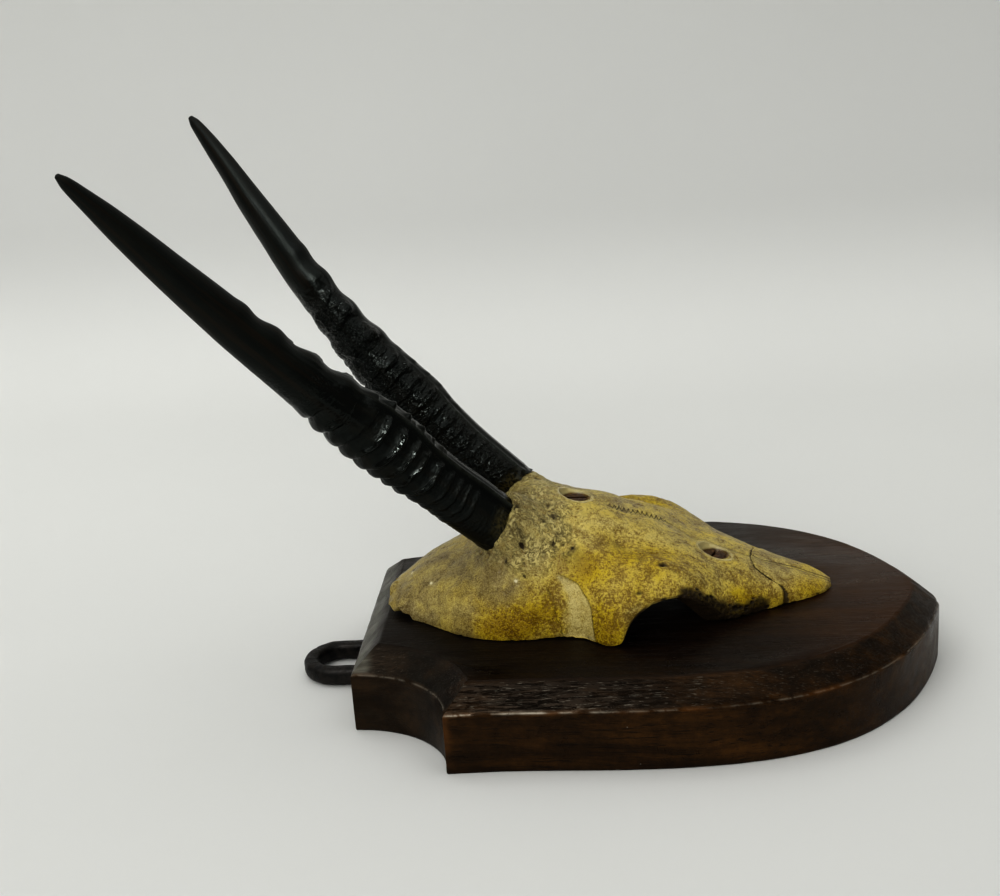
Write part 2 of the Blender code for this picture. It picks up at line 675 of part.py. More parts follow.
def horn_point(side, share, turn):
    """A point of the horn's skin; turn is 0 at the front and grows to the outside."""
    base, tip, along, front, out = horn_frame(side)
    length = np.linalg.norm(tip - base)
    broad = flowing(HORN_WIDTHS, 1, share)
    narrow = flowing(HORN_WIDTHS, 2, share)
    column = 1 if side < 0 else 3
    forward = flowing(HORN_TRIM, column, share)
    a = turn - BROAD_TURN
    radius = broad * narrow / np.hypot(narrow * cos(a), broad * sin(a))
    radius += flowing(HORN_TRIM, column + 1, share)
    away = (turn - KEEL_TURN + pi) % (2 * pi) - pi
    keel = np.exp(-(away / KEEL_SPREAD) ** 2) * (1 - smooth_step(share, KEEL_FADE, KEEL_END))
    radius += KEEL_HIGH * keel
    frontness = 0.5 + 0.5 * cos(turn - KEEL_TURN)
    radius += ring_swell(share) * (RING_EVEN + RING_ODD * cos(turn - RING_SIDE))
    sag = RING_SAG * np.exp(-((turn - SAG_TURN) / SAG_SPREAD) ** 2)
    settle = smooth_step(share, *SAG_START) * (1 - smooth_step(share, *SAG_STOP))
    reach = share * length - (sag + RING_LEAN * frontness) * settle
    radius += front_wave(reach / length, turn)
    seat = SEAT_SHIFT[side] + SEAT_LEAN[side] * radius * cos(turn)
    reach += seat * (1 - smooth_step(share, 0.0, SEAT_FADE))
    bow = np.array(HORN_BOW) * np.array((1.0, side, 1.0)) * sin(pi * share ** BOW_SKEW)
    centre = base + along * reach + bow + front * forward
    return centre + radius * (front * cos(turn) + out * sin(turn))


def horn_loops():
    """Shares of the length at which the horn's mesh has a loop of vertices."""
    loops = list(HORN_BASE_LOOPS)
    for low, high in zip(HORN_RINGS, HORN_RINGS[1:]):
        loops += [low + (high - low) * s for s in RING_SAMPLES]
    return loops + list(HORN_TIP_LOOPS)


def build_horn(name, side, look):
    bm = bmesh.new()
    rings = []
    for share in horn_loops():
        ring = []
        for k in range(HORN_SIDES):
            turn = -pi + 2 * pi * (k + 0.5) / HORN_SIDES
            ring.append(bm.verts.new(horn_point(side, share, turn)))
        rings.append(ring)
    for one, two in zip(rings, rings[1:]):
        bridge(bm, one, two)
    bm.faces.new(rings[0])
    _, end, along, _, _ = horn_frame(side)
    tip = bm.verts.new(end + HORN_POINT * along)
    last = rings[-1]
    for k, vert in enumerate(last):
        bm.faces.new((vert, last[(k + 1) % len(last)], tip))
    return add_object(name, bm, look, 50)


def main():
    clear_scene()
    wood = material("stained wood", (0.060, 0.020, 0.012), 0.38)
    bone = material("stained bone", (0.52, 0.38, 0.14), 0.55)
    horn = material("black horn", (0.012, 0.010, 0.009), 0.28)
    iron = material("black iron", (0.030, 0.026, 0.024), 0.5, 0.8)
    brass = material("old brass", (0.24, 0.13, 0.05), 0.45, 0.7)
    plaque = build_plaque(wood)
    strap_recess(plaque)
    hanger = build_hanger(iron)
    build_strap_screws(hanger, plaque, iron)
    skull = build_skull(bone)
    build_skull_screws(skull, plaque, brass)
    build_horn("horn_right", -1, horn)
    build_horn("horn_left", 1, horn)


main()
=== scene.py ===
"""The looks of the pair of duiker horns on their wooden shield.

Shapes are worked out in millimetres in the part's own frame: the origin is the middle of the
shield's back, +X runs to the shield's point, the animal's right side faces -Y and +Z is up.
"""
from math import asin, cos, pi, radians, sin

import bmesh
import bpy
import numpy as np
from mathutils import Matrix, Vector


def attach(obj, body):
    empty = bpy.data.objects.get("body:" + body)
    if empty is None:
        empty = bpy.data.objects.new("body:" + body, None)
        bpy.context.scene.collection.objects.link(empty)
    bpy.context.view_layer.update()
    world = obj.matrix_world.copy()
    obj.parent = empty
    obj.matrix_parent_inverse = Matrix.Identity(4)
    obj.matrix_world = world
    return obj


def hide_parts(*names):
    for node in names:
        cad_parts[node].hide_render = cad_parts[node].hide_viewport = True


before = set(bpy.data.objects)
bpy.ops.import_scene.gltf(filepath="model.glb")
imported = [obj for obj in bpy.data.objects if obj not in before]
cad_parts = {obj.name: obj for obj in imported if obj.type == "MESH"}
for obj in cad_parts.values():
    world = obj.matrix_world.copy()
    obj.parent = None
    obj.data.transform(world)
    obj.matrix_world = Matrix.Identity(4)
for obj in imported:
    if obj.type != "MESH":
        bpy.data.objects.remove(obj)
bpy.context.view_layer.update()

MM = 0.001
GAP = 0.3

# Shield
PLAQUE_LENGTH = 165.0
PLAQUE_HALF_WIDTH = 61.0
PLAQUE_THICK = 23.1
RIM_Z = 16.9
CHAMFER_WIDTH = 7.0
SCOOP_LENGTH = 27.6
SCOOP_WIDTH = 24.4
SIDE_LEAVE = (48.6, -3.8)
SIDE_ARRIVE = (22.9, 79.4)
TIP_BLUNT = 0.9
TIP_ROUND = 3.2
FOOT_ROUND = ((0.6, 0.0), (0.25, 0.12), (0.05, 0.45), (0.0, 0.9))
RIM_ROUND = ((0.02, -0.35), (0.14, -0.05), (0.42, 0.27))
TOP_ROUND = ((-0.12, 0.22), (0.15, 0.05), (0.5, 0.0))
END_X = -PLAQUE_LENGTH / 2

# Hanging loop and its strap
STRAP_LENGTH = 40.0
STRAP_WIDTH = 15.0
STRAP_THICK = 3.0
STRAP_SHOULDER = 9.0
STRAP_LIP = 1.0
STRAP_SINK = 0.4
STRAP_EDGE = 0.2
LOOP_REACH = 20.8
LOOP_HALF_WIDTH = 10.8
LOOP_BAR = 4.7
LOOP_TOP = 5.6
LOOP_SIDES = 36
LOOP_SQUARE = 0.7
STRAP_SCREWS = (-71.0, -52.0)
SINK_PROFILE = ((1.7, -13.0), (1.7, -1.9), (3.0, -0.3), (3.0, 3.0))

# Skull: x, half width at the cut edge, lift of that edge, height of the midline, squareness
SKULL_STATIONS = (
    (-75.0, 8.6, 1.4, 2.9, 2.0),
    (-73.4, 11.2, 0.8, 4.9, 2.0),
    (-70.3, 14.0, 0.3, 7.2, 2.0),
    (-66.5, 16.4, 0.0, 10.3, 2.0),
    (-62.4, 19.2, 0.0, 12.8, 2.0),
    (-54.8, 25.2, 0.0, 16.2, 2.0),
    (-49.5, 28.6, 0.0, 19.0, 2.0),
    (-41.3, 31.0, 0.0, 27.8, 2.0),
    (-35.5, 31.4, 0.0, 33.2, 2.0),
    (-28.1, 31.0, 0.0, 32.2, 2.0),
    (-20.1, 31.6, 0.0, 30.0, 2.0),
    (-15.7, 33.8, 0.0, 29.0, 2.0),
    (-11.6, 36.4, 0.0, 27.7, 2.0),
    (-8.9, 36.6, 0.6, 26.7, 2.0),
    (-5.9, 35.0, 5.2, 25.2, 2.1),
    (-3.3, 33.6, 7.8, 24.4, 2.2),
    (0.0, 32.5, 9.7, 23.3, 2.2),
    (5.0, 31.6, 11.0, 21.0, 2.3),
    (9.9, 30.0, 9.9, 18.1, 2.5),
    (13.2, 28.0, 7.4, 16.2, 2.6),
    (16.5, 25.6, 4.2, 14.7, 2.6),
    (20.5, 22.8, 0.3, 13.3, 2.6),
    (24.8, 20.8, 0.0, 11.6, 2.5),
    (30.5, 17.2, 0.0, 9.3, 2.4),
    (37.6, 13.4, 0.0, 6.8, 2.2),
    (44.1, 9.8, 0.0, 4.7, 2.1),
    (48.7, 6.4, 0.0, 3.0, 2.0),
    (51.6, 2.4, 0.0, 1.5, 2.0),
)
SKULL_ROWS = 396
SKULL_COLUMNS = 228
INNER_STEP = 6
INNER_REACH = 0.995
INNER_BACK = 2.6
INNER_NOSE = 6.0
BONE_THICK = 2.3
# Swellings and hollows of the bone: x, y, length, width and height
SKULL_RELIEF = (
    (2.5, 26.5, 9.5, 3.4, 0.8),
    (-3.0, 17.5, 11.0, 4.6, -2.1),
    (-11.0, 34.0, 4.5, 4.0, 1.0),
    (-24.0, 28.0, 7.0, 7.0, -1.6),
    (-48.0, 22.0, 12.0, 9.0, 1.2),
    (14.0, 19.0, 5.0, 5.0, 0.8),
)
RELIEF_EDGE = (0.05, 0.45)
RELIEF_OUT = 0.5
SKULL_HOLES = ((-20.1, 0.0), (18.4, -6.4))
HOLE_RADIUS = 2.4
HOLE_RIM_RADIUS = 4.6
HOLE_DEEP = 3.4
HOLE_PROFILE = ((HOLE_RADIUS, -14.0), (HOLE_RADIUS, -HOLE_DEEP), (HOLE_RIM_RADIUS - 0.5, -0.9),
                (HOLE_RIM_RADIUS, 0.2), (HOLE_RIM_RADIUS + 0.1, 6.0))
INNER_VALUES = {"stain": 0.4, "dirt": 1.1, "middle": 6.0, "nasal": 6.0, "crack": 6.0,
                "plate": 6.0, "behind": 6.0, "crack_width": 0.2}

# Screws: shank radius, head radius, head height, slot width and slot depth
BRASS_SCREW = (1.9, 3.3, 2.2, 0.9, 1.0)
STEEL_SCREW = (1.4, 2.7, 1.6, 0.7, 0.7)
BRASS_TURNS = (12, 70)
STEEL_TURNS = (35, 100)
STEEL_LENGTH = 11.0
HEAD_PROFILE = ((0.97, -0.42), (1.0, -0.28), (0.99, -0.1), (0.95, -0.02), (0.7, 0.03),
                (0.35, 0.05))

# Holes for the screws in the wood: radius, bottom and top
STRAP_PILOT = (1.7, -0.6, 11.6)
SKULL_PILOT_RADIUS = 2.2
HEAD_SINK = 1.0
SCREW_LEAN = 0.35
SCREW_BITE = 12.0

# Horns, on the left side: foot, tip and how far they bow out between the two
HORN_BASE = (-41.3, 15.1, 52.3)
HORN_TIP = (-133.6, 59.9, 158.3)
HORN_BOW = (-4.2, -5.2, -1.4)
BOW_SKEW = 0.85

# Share of a horn's length, and its radius across the broad and the narrow way
HORN_WIDTHS = (
    (0.00, 8.7, 7.8),
    (0.05, 8.7, 7.8),
    (0.12, 8.5, 7.6),
    (0.20, 8.9, 7.9),
    (0.30, 8.6, 7.6),
    (0.40, 7.6, 6.8),
    (0.50, 6.6, 5.7),
    (0.60, 5.9, 4.8),
    (0.70, 5.2, 4.1),
    (0.80, 4.4, 3.5),
    (0.90, 3.3, 2.7),
    (0.96, 2.3, 2.0),
    (0.985, 1.7, 1.6),
    (1.00, 0.9, 0.9),
)

# Turns round a horn from its front, the keel there and the strips beside it: turn, width, height
BROAD_TURN = radians(-45)
KEEL_TURN = radians(2)
KEEL_HIGH = 0.7
KEEL_SPREAD = radians(19)
SIDE_STRIPS = ((11, 4.5, 1), (-24, 5, 0.8))
KEEL_FADE = 0.15
KEEL_END = 0.46

# Share of the length, then shift forward and extra radius of the near horn and of the far one
HORN_TRIM = (
    (0.00, -1.10, -0.80, 0.00, 0.00),
    (0.10, -0.90, -0.50, -0.30, -0.10),
    (0.18, -0.80, -0.40, -0.45, -0.10),
    (0.24, -0.20, 0.45, 0.20, 0.30),
    (0.30, 0.05, 0.85, 0.05, 0.15),
    (0.38, -0.28, 0.22, 0.05, 0.00),
    (0.48, -0.50, 0.15, 0.15, 0.05),
    (0.60, -0.55, 0.28, 0.20, 0.50),
    (0.70, -0.33, 0.24, 0.60, 0.38),
    (0.78, -0.18, 0.16, 0.65, 0.25),
    (0.86, 0.04, 0.05, 0.93, 0.06),
    (0.94, 0.20, -0.10, 0.73, 0.06),
    (1.00, 0.20, -0.10, 0.30, 0.00),
)
SEAT_SHIFT = {-1: 0.3, 1: -2.8}
SEAT_LEAN = {-1: 0.21, 1: 0.05}
SEAT_FADE = 0.14

# Grooves between the rings in millimetres from the foot, and their lean by degrees round it
LOW_GROOVES = (10.4, 13.4, 16.4, 19.6, 23.3, 28.6, 32.8, 37.7, 43.2, 48.2)
OUTER_GROOVES = (48.2, 53.6, 60.2, 67.0)
INNER_GROOVES = (48.2, 56.8, 66.5, 75.5, 84.0)
GROOVE_LEAN = (
    (-180, 1.2), (-150, 0.2), (-110, -1.4), (-75, -2.0), (-40, -1.2), (-10, 0.2), (25, 0.3),
    (50, 0.0), (85, 0.0), (110, 0.8), (128, 1.3), (155, 1.2), (180, 1.2),
)
LEAN_START = (0.0, 0.08)
LEAN_STOP = (0.50, 0.80)
RING_CREST = 0.17
CREST_ROUND = 0.05
LIP_POWER = 2.8
LIP_HIGH = 0.35
BELLY_HIGH = 0.32
EDGE_KNOBS = (25.5, 31.0, 36.5, 44.0, 48.8)
KEEL_RINGS = {-1: 0.55, 1: 0.15}
KNOB_HIGH = {-1: 0.42, 1: 0.12}
RING_UNEVEN = {-1: 0.8, 1: 1.3}
WAVE_PITCH = 0.080
WAVE_HIGH = 0.5
WAVE_AT = 0.470
WAVE_START = (0.34, 0.38)
WAVE_STOP = (0.60, 0.66)
WAVE_TURN = radians(-20)
WAVE_SPREAD = radians(50)
PEDICLE_INNER = 8.2
PEDICLE_OUTER = 11.4
PEDICLE_SLOPE = 0.8
PEDICLE_FLOOR = 35.0
HORN_LOOPS = 570
HORN_FINE_TO = 0.62
HORN_SIDES = 168

# Lines and marks on the bone. Those with y as a distance from the middle are on both sides.
MIDLINE = ((-11.0, -2.6), (-6.2, -1.2), (-2.0, -0.3), (1.7, -0.3), (5.8, 0.6), (9.2, -0.8),
           (13.1, -2.2), (15.8, 0.3), (20.0, -1.2), (25.9, -1.5), (30.0, -1.1), (32.3, -1.9),
           (36.5, -1.3), (41.9, -0.9), (46.8, -1.9), (51.0, -1.1))
SEAM_START = (-12.5, -9.0)
SEAM_END = 6.5
SEAM_PITCH = 1.3
SEAM_SWING = 4.8
NASAL_START = 30.0
CRACK = ((-14.6, 36.9), (-13.4, 37.4), (-12.3, 37.5), (-11.1, 36.4), (-10.9, 34.0), (-9.6, 32.0),
         (-8.8, 30.8), (-7.7, 29.4), (-4.3, 29.0), (1.1, 29.2), (4.6, 29.8), (7.4, 30.6),
         (9.2, 32.9), (11.1, 34.2), (15.6, 33.6))
CRACK_X = 32.0
CRACK_REACH = 9.0
PLATE_LEVELS = (24.0, 27.6, 30.2, 32.3, 34.1, 37.5, 40.3)
PLATE_BACK = (-23.6, -23.4, -23.2, -22.7, -22.4, -23.4, -25.5)
PLATE_FRONT = (-15.6, -15.9, -16.0, -16.3, -17.1, -19.5, -25.4)
SPONGY_EDGE = ((9.0, 30.0, 33.6), (12.9, 28.2, 31.6), (17.0, 25.8, 28.4), (20.5, 23.6, 25.4),
               (25.5, 20.4, 24.4), (29.9, 17.5, 24.6))
BEHIND_PLATE = ((24.0, -24.3), (25.3, -24.6), (27.6, -25.3), (30.2, -26.0), (32.3, -26.3),
                (34.1, -26.8), (37.0, -28.2))
FAR_OFF = 6.0
ROOT_PITS = ((-34.5, -23.2, 47.6), (-37.3, -24.2, 45.2), (-39.3, -24.1, 44.1),
             (-32.5, -21.5, 49.2))
ROOT_SLIT = ((-39.3, -24.2, 43.5), (-36.5, -25.6, 42.2), (-33.9, -27.0, 40.1))
EYE_PIT = (3.0, 25.6, 42.1)
EYE_CHANNEL = ((3.4, 25.6, 41.9), (7.4, 27.2, 40.0))
EYE_OVAL = (-3.2, 32.2, 36.6)
PALE_STREAK = ((-7.0, 34.6, 31.6), (-3.2, 33.9, 33.4))

# Folds: a groove, the brow, the hollow under it and a scar, each with its width and height
BONE_FOLDS = (
    (((-9.0, 17.5, 45.2), (-2.2, 24.6, 43.0)), 2.0, -0.35),
    (((-4.7, 27.2, 42.0), (2.6, 27.0, 41.6), (13.2, 24.6, 36.6)), 0.9, 0.28),
    (((-4.7, 28.8, 40.6), (2.6, 28.8, 40.0), (12.0, 26.4, 35.6)), 1.3, -0.25),
    (((-45.0, 20.5, 44.0), (-38.0, 25.0, 42.5), (-31.0, 26.6, 41.0), (-27.5, 26.4, 38.6)),
     0.7, 0.22),
)

# Mounds: middle, size and, in the tables, amount. A negative y is on the near side only.
UNEVEN_BRAINCASE = ((-52.0, 14.0, 36.0), (20.0, 14.0, 12.0))
BETWEEN_HORNS = ((-30.0, 0.0, 54.0), (6.0, 13.0, 6.0))
FAR_BROW = ((4.0, 27.0, 41.8), (6.0, 1.6, 2.0))
CHIPPED_RIM = ((-20.0, 31.5, 24.0), (6.0, 4.0, 1.5))
STAINS = (
    ((-6.0, 24.0, 42.0), (17.0, 9.0, 9.0), 0.34),
    ((-18.0, 27.0, 38.0), (9.0, 7.0, 6.0), 0.18),
    ((-19.0, 23.0, 43.0), (8.0, 7.0, 6.0), 0.06),
    ((-36.0, 30.0, 28.0), (14.0, 9.0, 5.4), 0.95),
    ((-27.5, 29.5, 30.0), (3.0, 6.0, 7.0), 0.24),
    ((-28.5, 30.4, 27.6), (4.0, 6.0, 3.0), -0.50),
    ((-11.5, 35.5, 28.5), (5.0, 8.0, 8.5), 0.66),
    ((-4.0, 33.0, 34.5), (5.0, 6.0, 4.5), 0.25),
    ((28.0, 15.0, 27.0), (14.0, 7.0, 5.5), 0.46),
    ((44.0, 9.0, 26.0), (8.0, 6.0, 3.0), 0.42),
    ((4.0, 21.0, 42.0), (8.0, 6.0, 5.0), 0.16),
    ((10.0, 0.0, 42.0), (22.0, 6.5, 12.0), -0.16),
    ((-24.0, 4.0, 54.0), (11.0, 12.0, 8.0), -0.12),
    ((43.0, 0.0, 28.0), (10.0, 4.0, 6.0), -0.06),
    ((-60.0, 12.0, 33.0), (16.0, 20.0, 12.0), -0.26),
    ((-64.0, 18.0, 26.0), (10.0, 8.0, 6.0), -0.20),
    ((-32.0, 20.0, 46.0), (7.0, 7.0, 7.0), -0.05),
)
PALE_PATCHES = (
    ((36.0, 9.0, 29.5), (11.0, 6.0, 4.0), 0.40),
    ((-12.0, 12.0, 48.0), (7.0, 3.0, 4.0), 0.45),
    ((2.0, 13.0, 44.0), (9.0, 3.0, 4.0), 0.40),
    ((-52.0, 24.5, 29.6), (9.0, 6.0, 3.0), 0.40),
    ((-44.0, 25.0, 38.5), (4.0, 4.0, 3.0), 0.35),
)
# Darker patches: dirt, and painted shade in the gap at the near horn's root
DIRT_AND_SHADE_PATCHES = (
    ((-29.0, -28.3, 35.6), (2.2, 4.0, 1.5), 0.30),
    ((-36.3, -22.4, 53.0), (2.4, 2.4, 1.6), 0.45),
    ((20.8, -21.4, 29.4), (2.0, 4.0, 1.2), 0.35),
    ((-21.0, 23.0, 43.0), (8.0, 7.0, 6.0), 0.38),
    ((6.0, -30.0, 38.0), (4.0, 4.0, 2.0), 0.20),
)
WHITE_FLAKES = tuple((spot, (0.7, 0.7, 0.7), 1.7) for spot in (
    (-68.3, -2.7, 32.1), (-61.5, -13.3, 33.3), (-60.4, -14.0, 33.0), (-36.4, -27.5, 39.2),
    (-66.0, -9.0, 31.0)))

# Grains of bone (broad, mottle, fine, powder, fibre, crust), horn (mottle, stripe, fine, bits,
# hair) and wood (sway, band, blotch, fibre, rays, glint_dash, dents): scale, detail, roughness,
# twist
BONE_GRAINS = ((75.0, 3.0, 0.5, 0.6), (270.0, 4.0, 0.6, 0.5), (1250.0, 4.0, 0.65, 0.3),
               (3000.0, 2.0, 0.6), ((330.0, 1300.0, 1300.0), 4.0, 0.65, 1.2),
               (430.0, 5.0, 0.68, 1.6))
HORN_GRAINS = (((0.16, 0.16, 0.10), 5.0, 0.62), ((0.42, 0.42, 0.022), 4.0, 0.6),
               ((1.5, 1.5, 1.1), 4.0, 0.6), ((0.8, 0.8, 1.3), 1.5, 0.5, 0.6),
               ((2.6, 2.6, 0.12), 3.0, 0.6))
WOOD_GRAINS = (((9.0, 26.0, 26.0), 3.0), ((6.0, 42.0, 42.0), 4.0, 0.5, 0.6),
               ((38.0, 80.0, 80.0), 5.0, 0.62, 0.5), ((110.0, 2100.0, 2100.0), 4.0, 0.65),
               ((420.0, 420.0, 420.0), 4.0, 0.7), ((330.0, 3400.0, 3400.0), 3.0, 0.6),
               ((150.0, 1400.0, 1400.0), 4.0, 0.65))

# Colours, alone or at places on a slope
BONE_TONES = ((0.0, (0.58, 0.50, 0.25)), (0.25, (0.62, 0.515, 0.175)),
              (0.50, (0.64, 0.505, 0.110)), (0.75, (0.59, 0.440, 0.028)),
              (1.0, (0.42, 0.282, 0.010)))
# tints for the painted shading of the grain, dark to light
BONE_SHADES = ((0.0, (0.36, 0.29, 0.17)), (0.45, (0.66, 0.61, 0.50)), (1.0, (1.0, 1.0, 0.98)))
BONE_PALE = (0.62, 0.54, 0.27)
BONE_BROWN = (0.165, 0.126, 0.058)
BONE_SPECK = (0.070, 0.045, 0.014)
BONE_FLAKE = (0.78, 0.71, 0.47)
BONE_CREVICE = (0.150, 0.105, 0.034)
# dirt, and painted shade in the hollows
BONE_DIRT_AND_SHADE = (0.028, 0.018, 0.007)
CUT_BONE = ((0.35, (0.050, 0.027, 0.008)), (0.65, (0.20, 0.115, 0.028)))
HOLE_LIP = (0.55, 0.47, 0.22)
HORN_TONES = ((0.32, (0.0026, 0.0032, 0.0028)), (0.55, (0.0044, 0.0048, 0.0038)),
              (0.72, (0.0080, 0.0070, 0.0042)))
HORN_BROWN = (0.0110, 0.0068, 0.0034)
HORN_GREEN = (0.0075, 0.0092, 0.0062)
HORN_EDGE = (0.060, 0.068, 0.056)
HORN_RIM = (0.060, 0.048, 0.018)
HORN_GLEAM = (0.90, 1.0, 0.95)
WOOD_TONES = ((0.36, (0.0060, 0.0032, 0.0016)), (0.48, (0.0200, 0.0098, 0.0036)),
              (0.56, (0.040, 0.0190, 0.0056)), (0.68, (0.080, 0.037, 0.0090)))
WOOD_VEIN = (0.0040, 0.0022, 0.0013)
WOOD_WORN = (0.135, 0.056, 0.014)
# grime, with painted shade along the foot
WOOD_GRIME_AND_SHADE = (0.0035, 0.0028, 0.0022)
WOOD_SPECK = (0.25, 0.23, 0.20)
WOOD_SOOT = (0.0050, 0.0036, 0.0026)
# painted glints on the cut slant
WOOD_GLINT = (0.26, 0.24, 0.20)
# painted shadow on the top
WOOD_TOP_SHADOW = (0.003, 0.0012, 0.0007)
# painted warm sheen on the top near the point
WOOD_TOP_SHEEN = (0.066, 0.026, 0.009)
# painted highlight along the rim
WOOD_RIM_HIGHLIGHT = (0.50, 0.46, 0.38)
# painted sheen on the end slant, and a little grey over the scoop
WOOD_SHEEN_GREY = (0.145, 0.145, 0.122)
WOOD_GLEAM = (1.0, 0.80, 0.62)

SHEET_TONES = ((0.3, (0.795, 0.80, 0.78)), (0.7, (0.82, 0.825, 0.805)))

# Camera, measured in hundredths of the shield's length
CAMERA_UNIT = 0.00165
CAMERA_AIM = (-25.51, 10.74, 37.74)
CAMERA_AWAY = 269.57
CAMERA_TURN = 4.84
CAMERA_RISE = 18.34
CAMERA_ROLL = -3.89
FOCAL_PIXELS = 1510.71
PICTURE_WIDTH = 1000
SENSOR_WIDTH = 36.0

# Lights: name, place, aim, size, power, colour and the rays that don't see it. All in metres.
ROOM_COLOUR = (1.0, 1.0, 0.97)
ROOM_STRENGTH = 0.17
LIGHTS = (
    ("ceiling", (-0.08, 0.20, 1.3), (-0.02, 0.04, 0.0), (2.6, 2.0), 12.8, (1.0, 1.0, 0.99), None),
    ("fill", (-0.40, -1.30, 0.75), (-0.02, 0.0, 0.03), (1.6, 0.8), 9.0, (1.0, 1.0, 0.98),
     "visible_glossy"),
    ("strip", (-0.203, -0.608, 0.347), (-0.06, 0.0, 0.07), (0.34, 0.022), 0.20, (1.0, 1.0, 0.98),
     "visible_diffuse"),
    ("strip", (-0.245, -0.435, 0.650), (-0.06, 0.0, 0.07), (0.20, 0.040), 2.1, (1.0, 1.0, 0.98),
     "visible_diffuse"),
)

# Pale sheet: where the floor runs, the radius of the bend and the wall's top
FLOOR_RUN = (-2.5, -0.6, 0.25)
BEND_RADIUS = 0.24
WALL_TOP = 2.2
SHEET_HALF_WIDTH = 3.0

# Metals: name, dark and light colour, roughness, share of metal and scale of the mottle
IRON = ("black iron", (0.006, 0.0055, 0.005), (0.030, 0.025, 0.021), 0.48, 0.5, 420)
BRASS = ("old brass", (0.030, 0.014, 0.006), (0.16, 0.075, 0.028), 0.45, 0.6, 900)
STEEL = ("old steel", (0.020, 0.018, 0.016), (0.12, 0.11, 0.10), 0.42, 0.8, 700)


# Numbers that vary in space


def ease(value, low, high):
    """0 below the low bound and 1 above the high one, with a smooth rise between them."""
    part = np.clip((value - low) / (high - low), 0.0, 1.0)
    return part * part * (3 - 2 * part)


def fall(value, low, high):
    return 1 - ease(value, low, high)


def bell(value, width):
    """1 where the value is 0, falling off over the width."""
    return np.exp(-(value / width) ** 2)


def flowing(table, column, where):
    """Read one column of a table of stations on a smooth curve through them."""
    rows = np.array(table, dtype=float)
    x = rows[:, 0]
    y = rows[:, column]
    chord = np.diff(y) / np.diff(x)
    slope = np.zeros(len(x))
    slope[1:-1] = np.where(chord[:-1] * chord[1:] > 0,
                           2 * chord[:-1] * chord[1:] / (chord[:-1] + chord[1:] + 1e-12), 0.0)
    slope[0] = chord[0]
    slope[-1] = chord[-1]
    k = np.clip(np.searchsorted(x, where, side="right") - 1, 0, len(x) - 2)
    step = x[k + 1] - x[k]
    s = np.clip((where - x[k]) / step, 0.0, 1.0)
    near = y[k] * (1 + 2 * s) * (1 - s) ** 2 + slope[k] * step * s * (1 - s) ** 2
    far = y[k + 1] * s * s * (3 - 2 * s) + slope[k + 1] * step * s * s * (s - 1)
    return near + far


def scatter(cell, seed):
    """A fixed number from 0 to 1 for each cell of a lattice."""
    mix = (cell[..., 0] * 374761393 + cell[..., 1] * 668265263 + cell[..., 2] * 1442695041
           + seed * 974634777) & 0xFFFFFFFF
    mix = ((mix ^ (mix >> 13)) * 1274126177) & 0xFFFFFFFF
    return ((mix ^ (mix >> 16)) & 0xFFFF) / 65535.0


def lumps(points, size, seed):
    """Smooth noise from -1 to 1 with lumps of one size."""
    p = np.asarray(points, dtype=float) / size
    cell = np.floor(p).astype(np.int64)
    part = p - cell
    part = part * part * (3 - 2 * part)
    total = 0.0
    for corner in np.ndindex(2, 2, 2):
        weight = np.where(corner, part, 1 - part)
        weight = weight[..., 0] * weight[..., 1] * weight[..., 2]
        total = total + weight * scatter(cell + np.array(corner), seed)
    return 2 * total - 1


def noise(points, size, octaves, seed):
    """Lumps of several sizes on top of each other."""
    total = 0.0
    strength = 1.0
    for k in range(octaves):
        total = total + strength * lumps(points, size / 2 ** k, seed + 17 * k)
        strength *= 0.55
    return total


def ridges(points, size, octaves, seed):
    """Noise with sharp crests, from 0 to about 1."""
    total = 0.0
    strength = 0.5
    for k in range(octaves):
        total = total + strength * (1 - np.abs(lumps(points, size / 2 ** k, seed + 31 * k)))
        strength *= 0.5
    return total


def pores(points, size, radius, seed):
    """Round pits scattered one to a cell: 1 at a pit's middle, 0 outside it."""
    p = np.asarray(points, dtype=float) / size
    cell = np.floor(p).astype(np.int64)
    found = np.full(p.shape[:-1], 9.0)
    for step in np.ndindex(3, 3, 3):
        near = cell + np.array(step) - 1
        spot = near + np.stack([scatter(near, seed + k) for k in range(3)], axis=-1)
        scale = 0.6 + 0.8 * scatter(near, seed + 5)
        found = np.minimum(found, np.linalg.norm(p - spot, axis=-1) / scale)
    return fall(found * size, 0.4 * radius, radius)


def line_distance(points, line):
    """Distance of each point to a broken line, in as many dimensions as the line has."""
    line = np.array(line, dtype=float)
    spots = points[..., :line.shape[1]]
    found = np.full(spots.shape[:-1], 1e9)
    for a, b in zip(line, line[1:]):
        run = b - a
        s = np.clip(((spots - a) @ run) / (run @ run), 0.0, 1.0)
        found = np.minimum(found, np.linalg.norm(spots - a - s[..., None] * run, axis=-1))
    return found


def stroke(points, line, width):
    """1 on a broken line, falling off over the width."""
    return bell(line_distance(points, line), width)


def mound(points, centre, size):
    """1 at the centre, falling off over the three sizes."""
    return np.exp(-(((points - np.array(centre)) / np.array(size)) ** 2).sum(-1))


def both_sides(points):
    """The same points with y as a distance from the middle."""
    return points * np.array((1.0, 0.0, 1.0)) + np.abs(points) * np.array((0.0, 1.0, 0.0))


def with_mounds(value, points, table):
    """Add a table's mounds to a value."""
    sided = both_sides(points)
    for centre, size, amount in table:
        value = value + amount * mound(points if centre[1] < 0 else sided, centre, size)
    return value


# Meshes


def grid_normals(grid):
    along = np.gradient(grid, axis=0)
    over = np.gradient(grid, axis=1)
    normal = np.cross(along, over)
    return normal / (np.linalg.norm(normal, axis=-1)[..., None] + 1e-12)


def outward_normals(grid, outward):
    """The normals of a grid, all turned to the side that the outward vectors point to."""
    normals = grid_normals(grid)
    return normals * np.sign((normals * outward).sum(-1).mean())


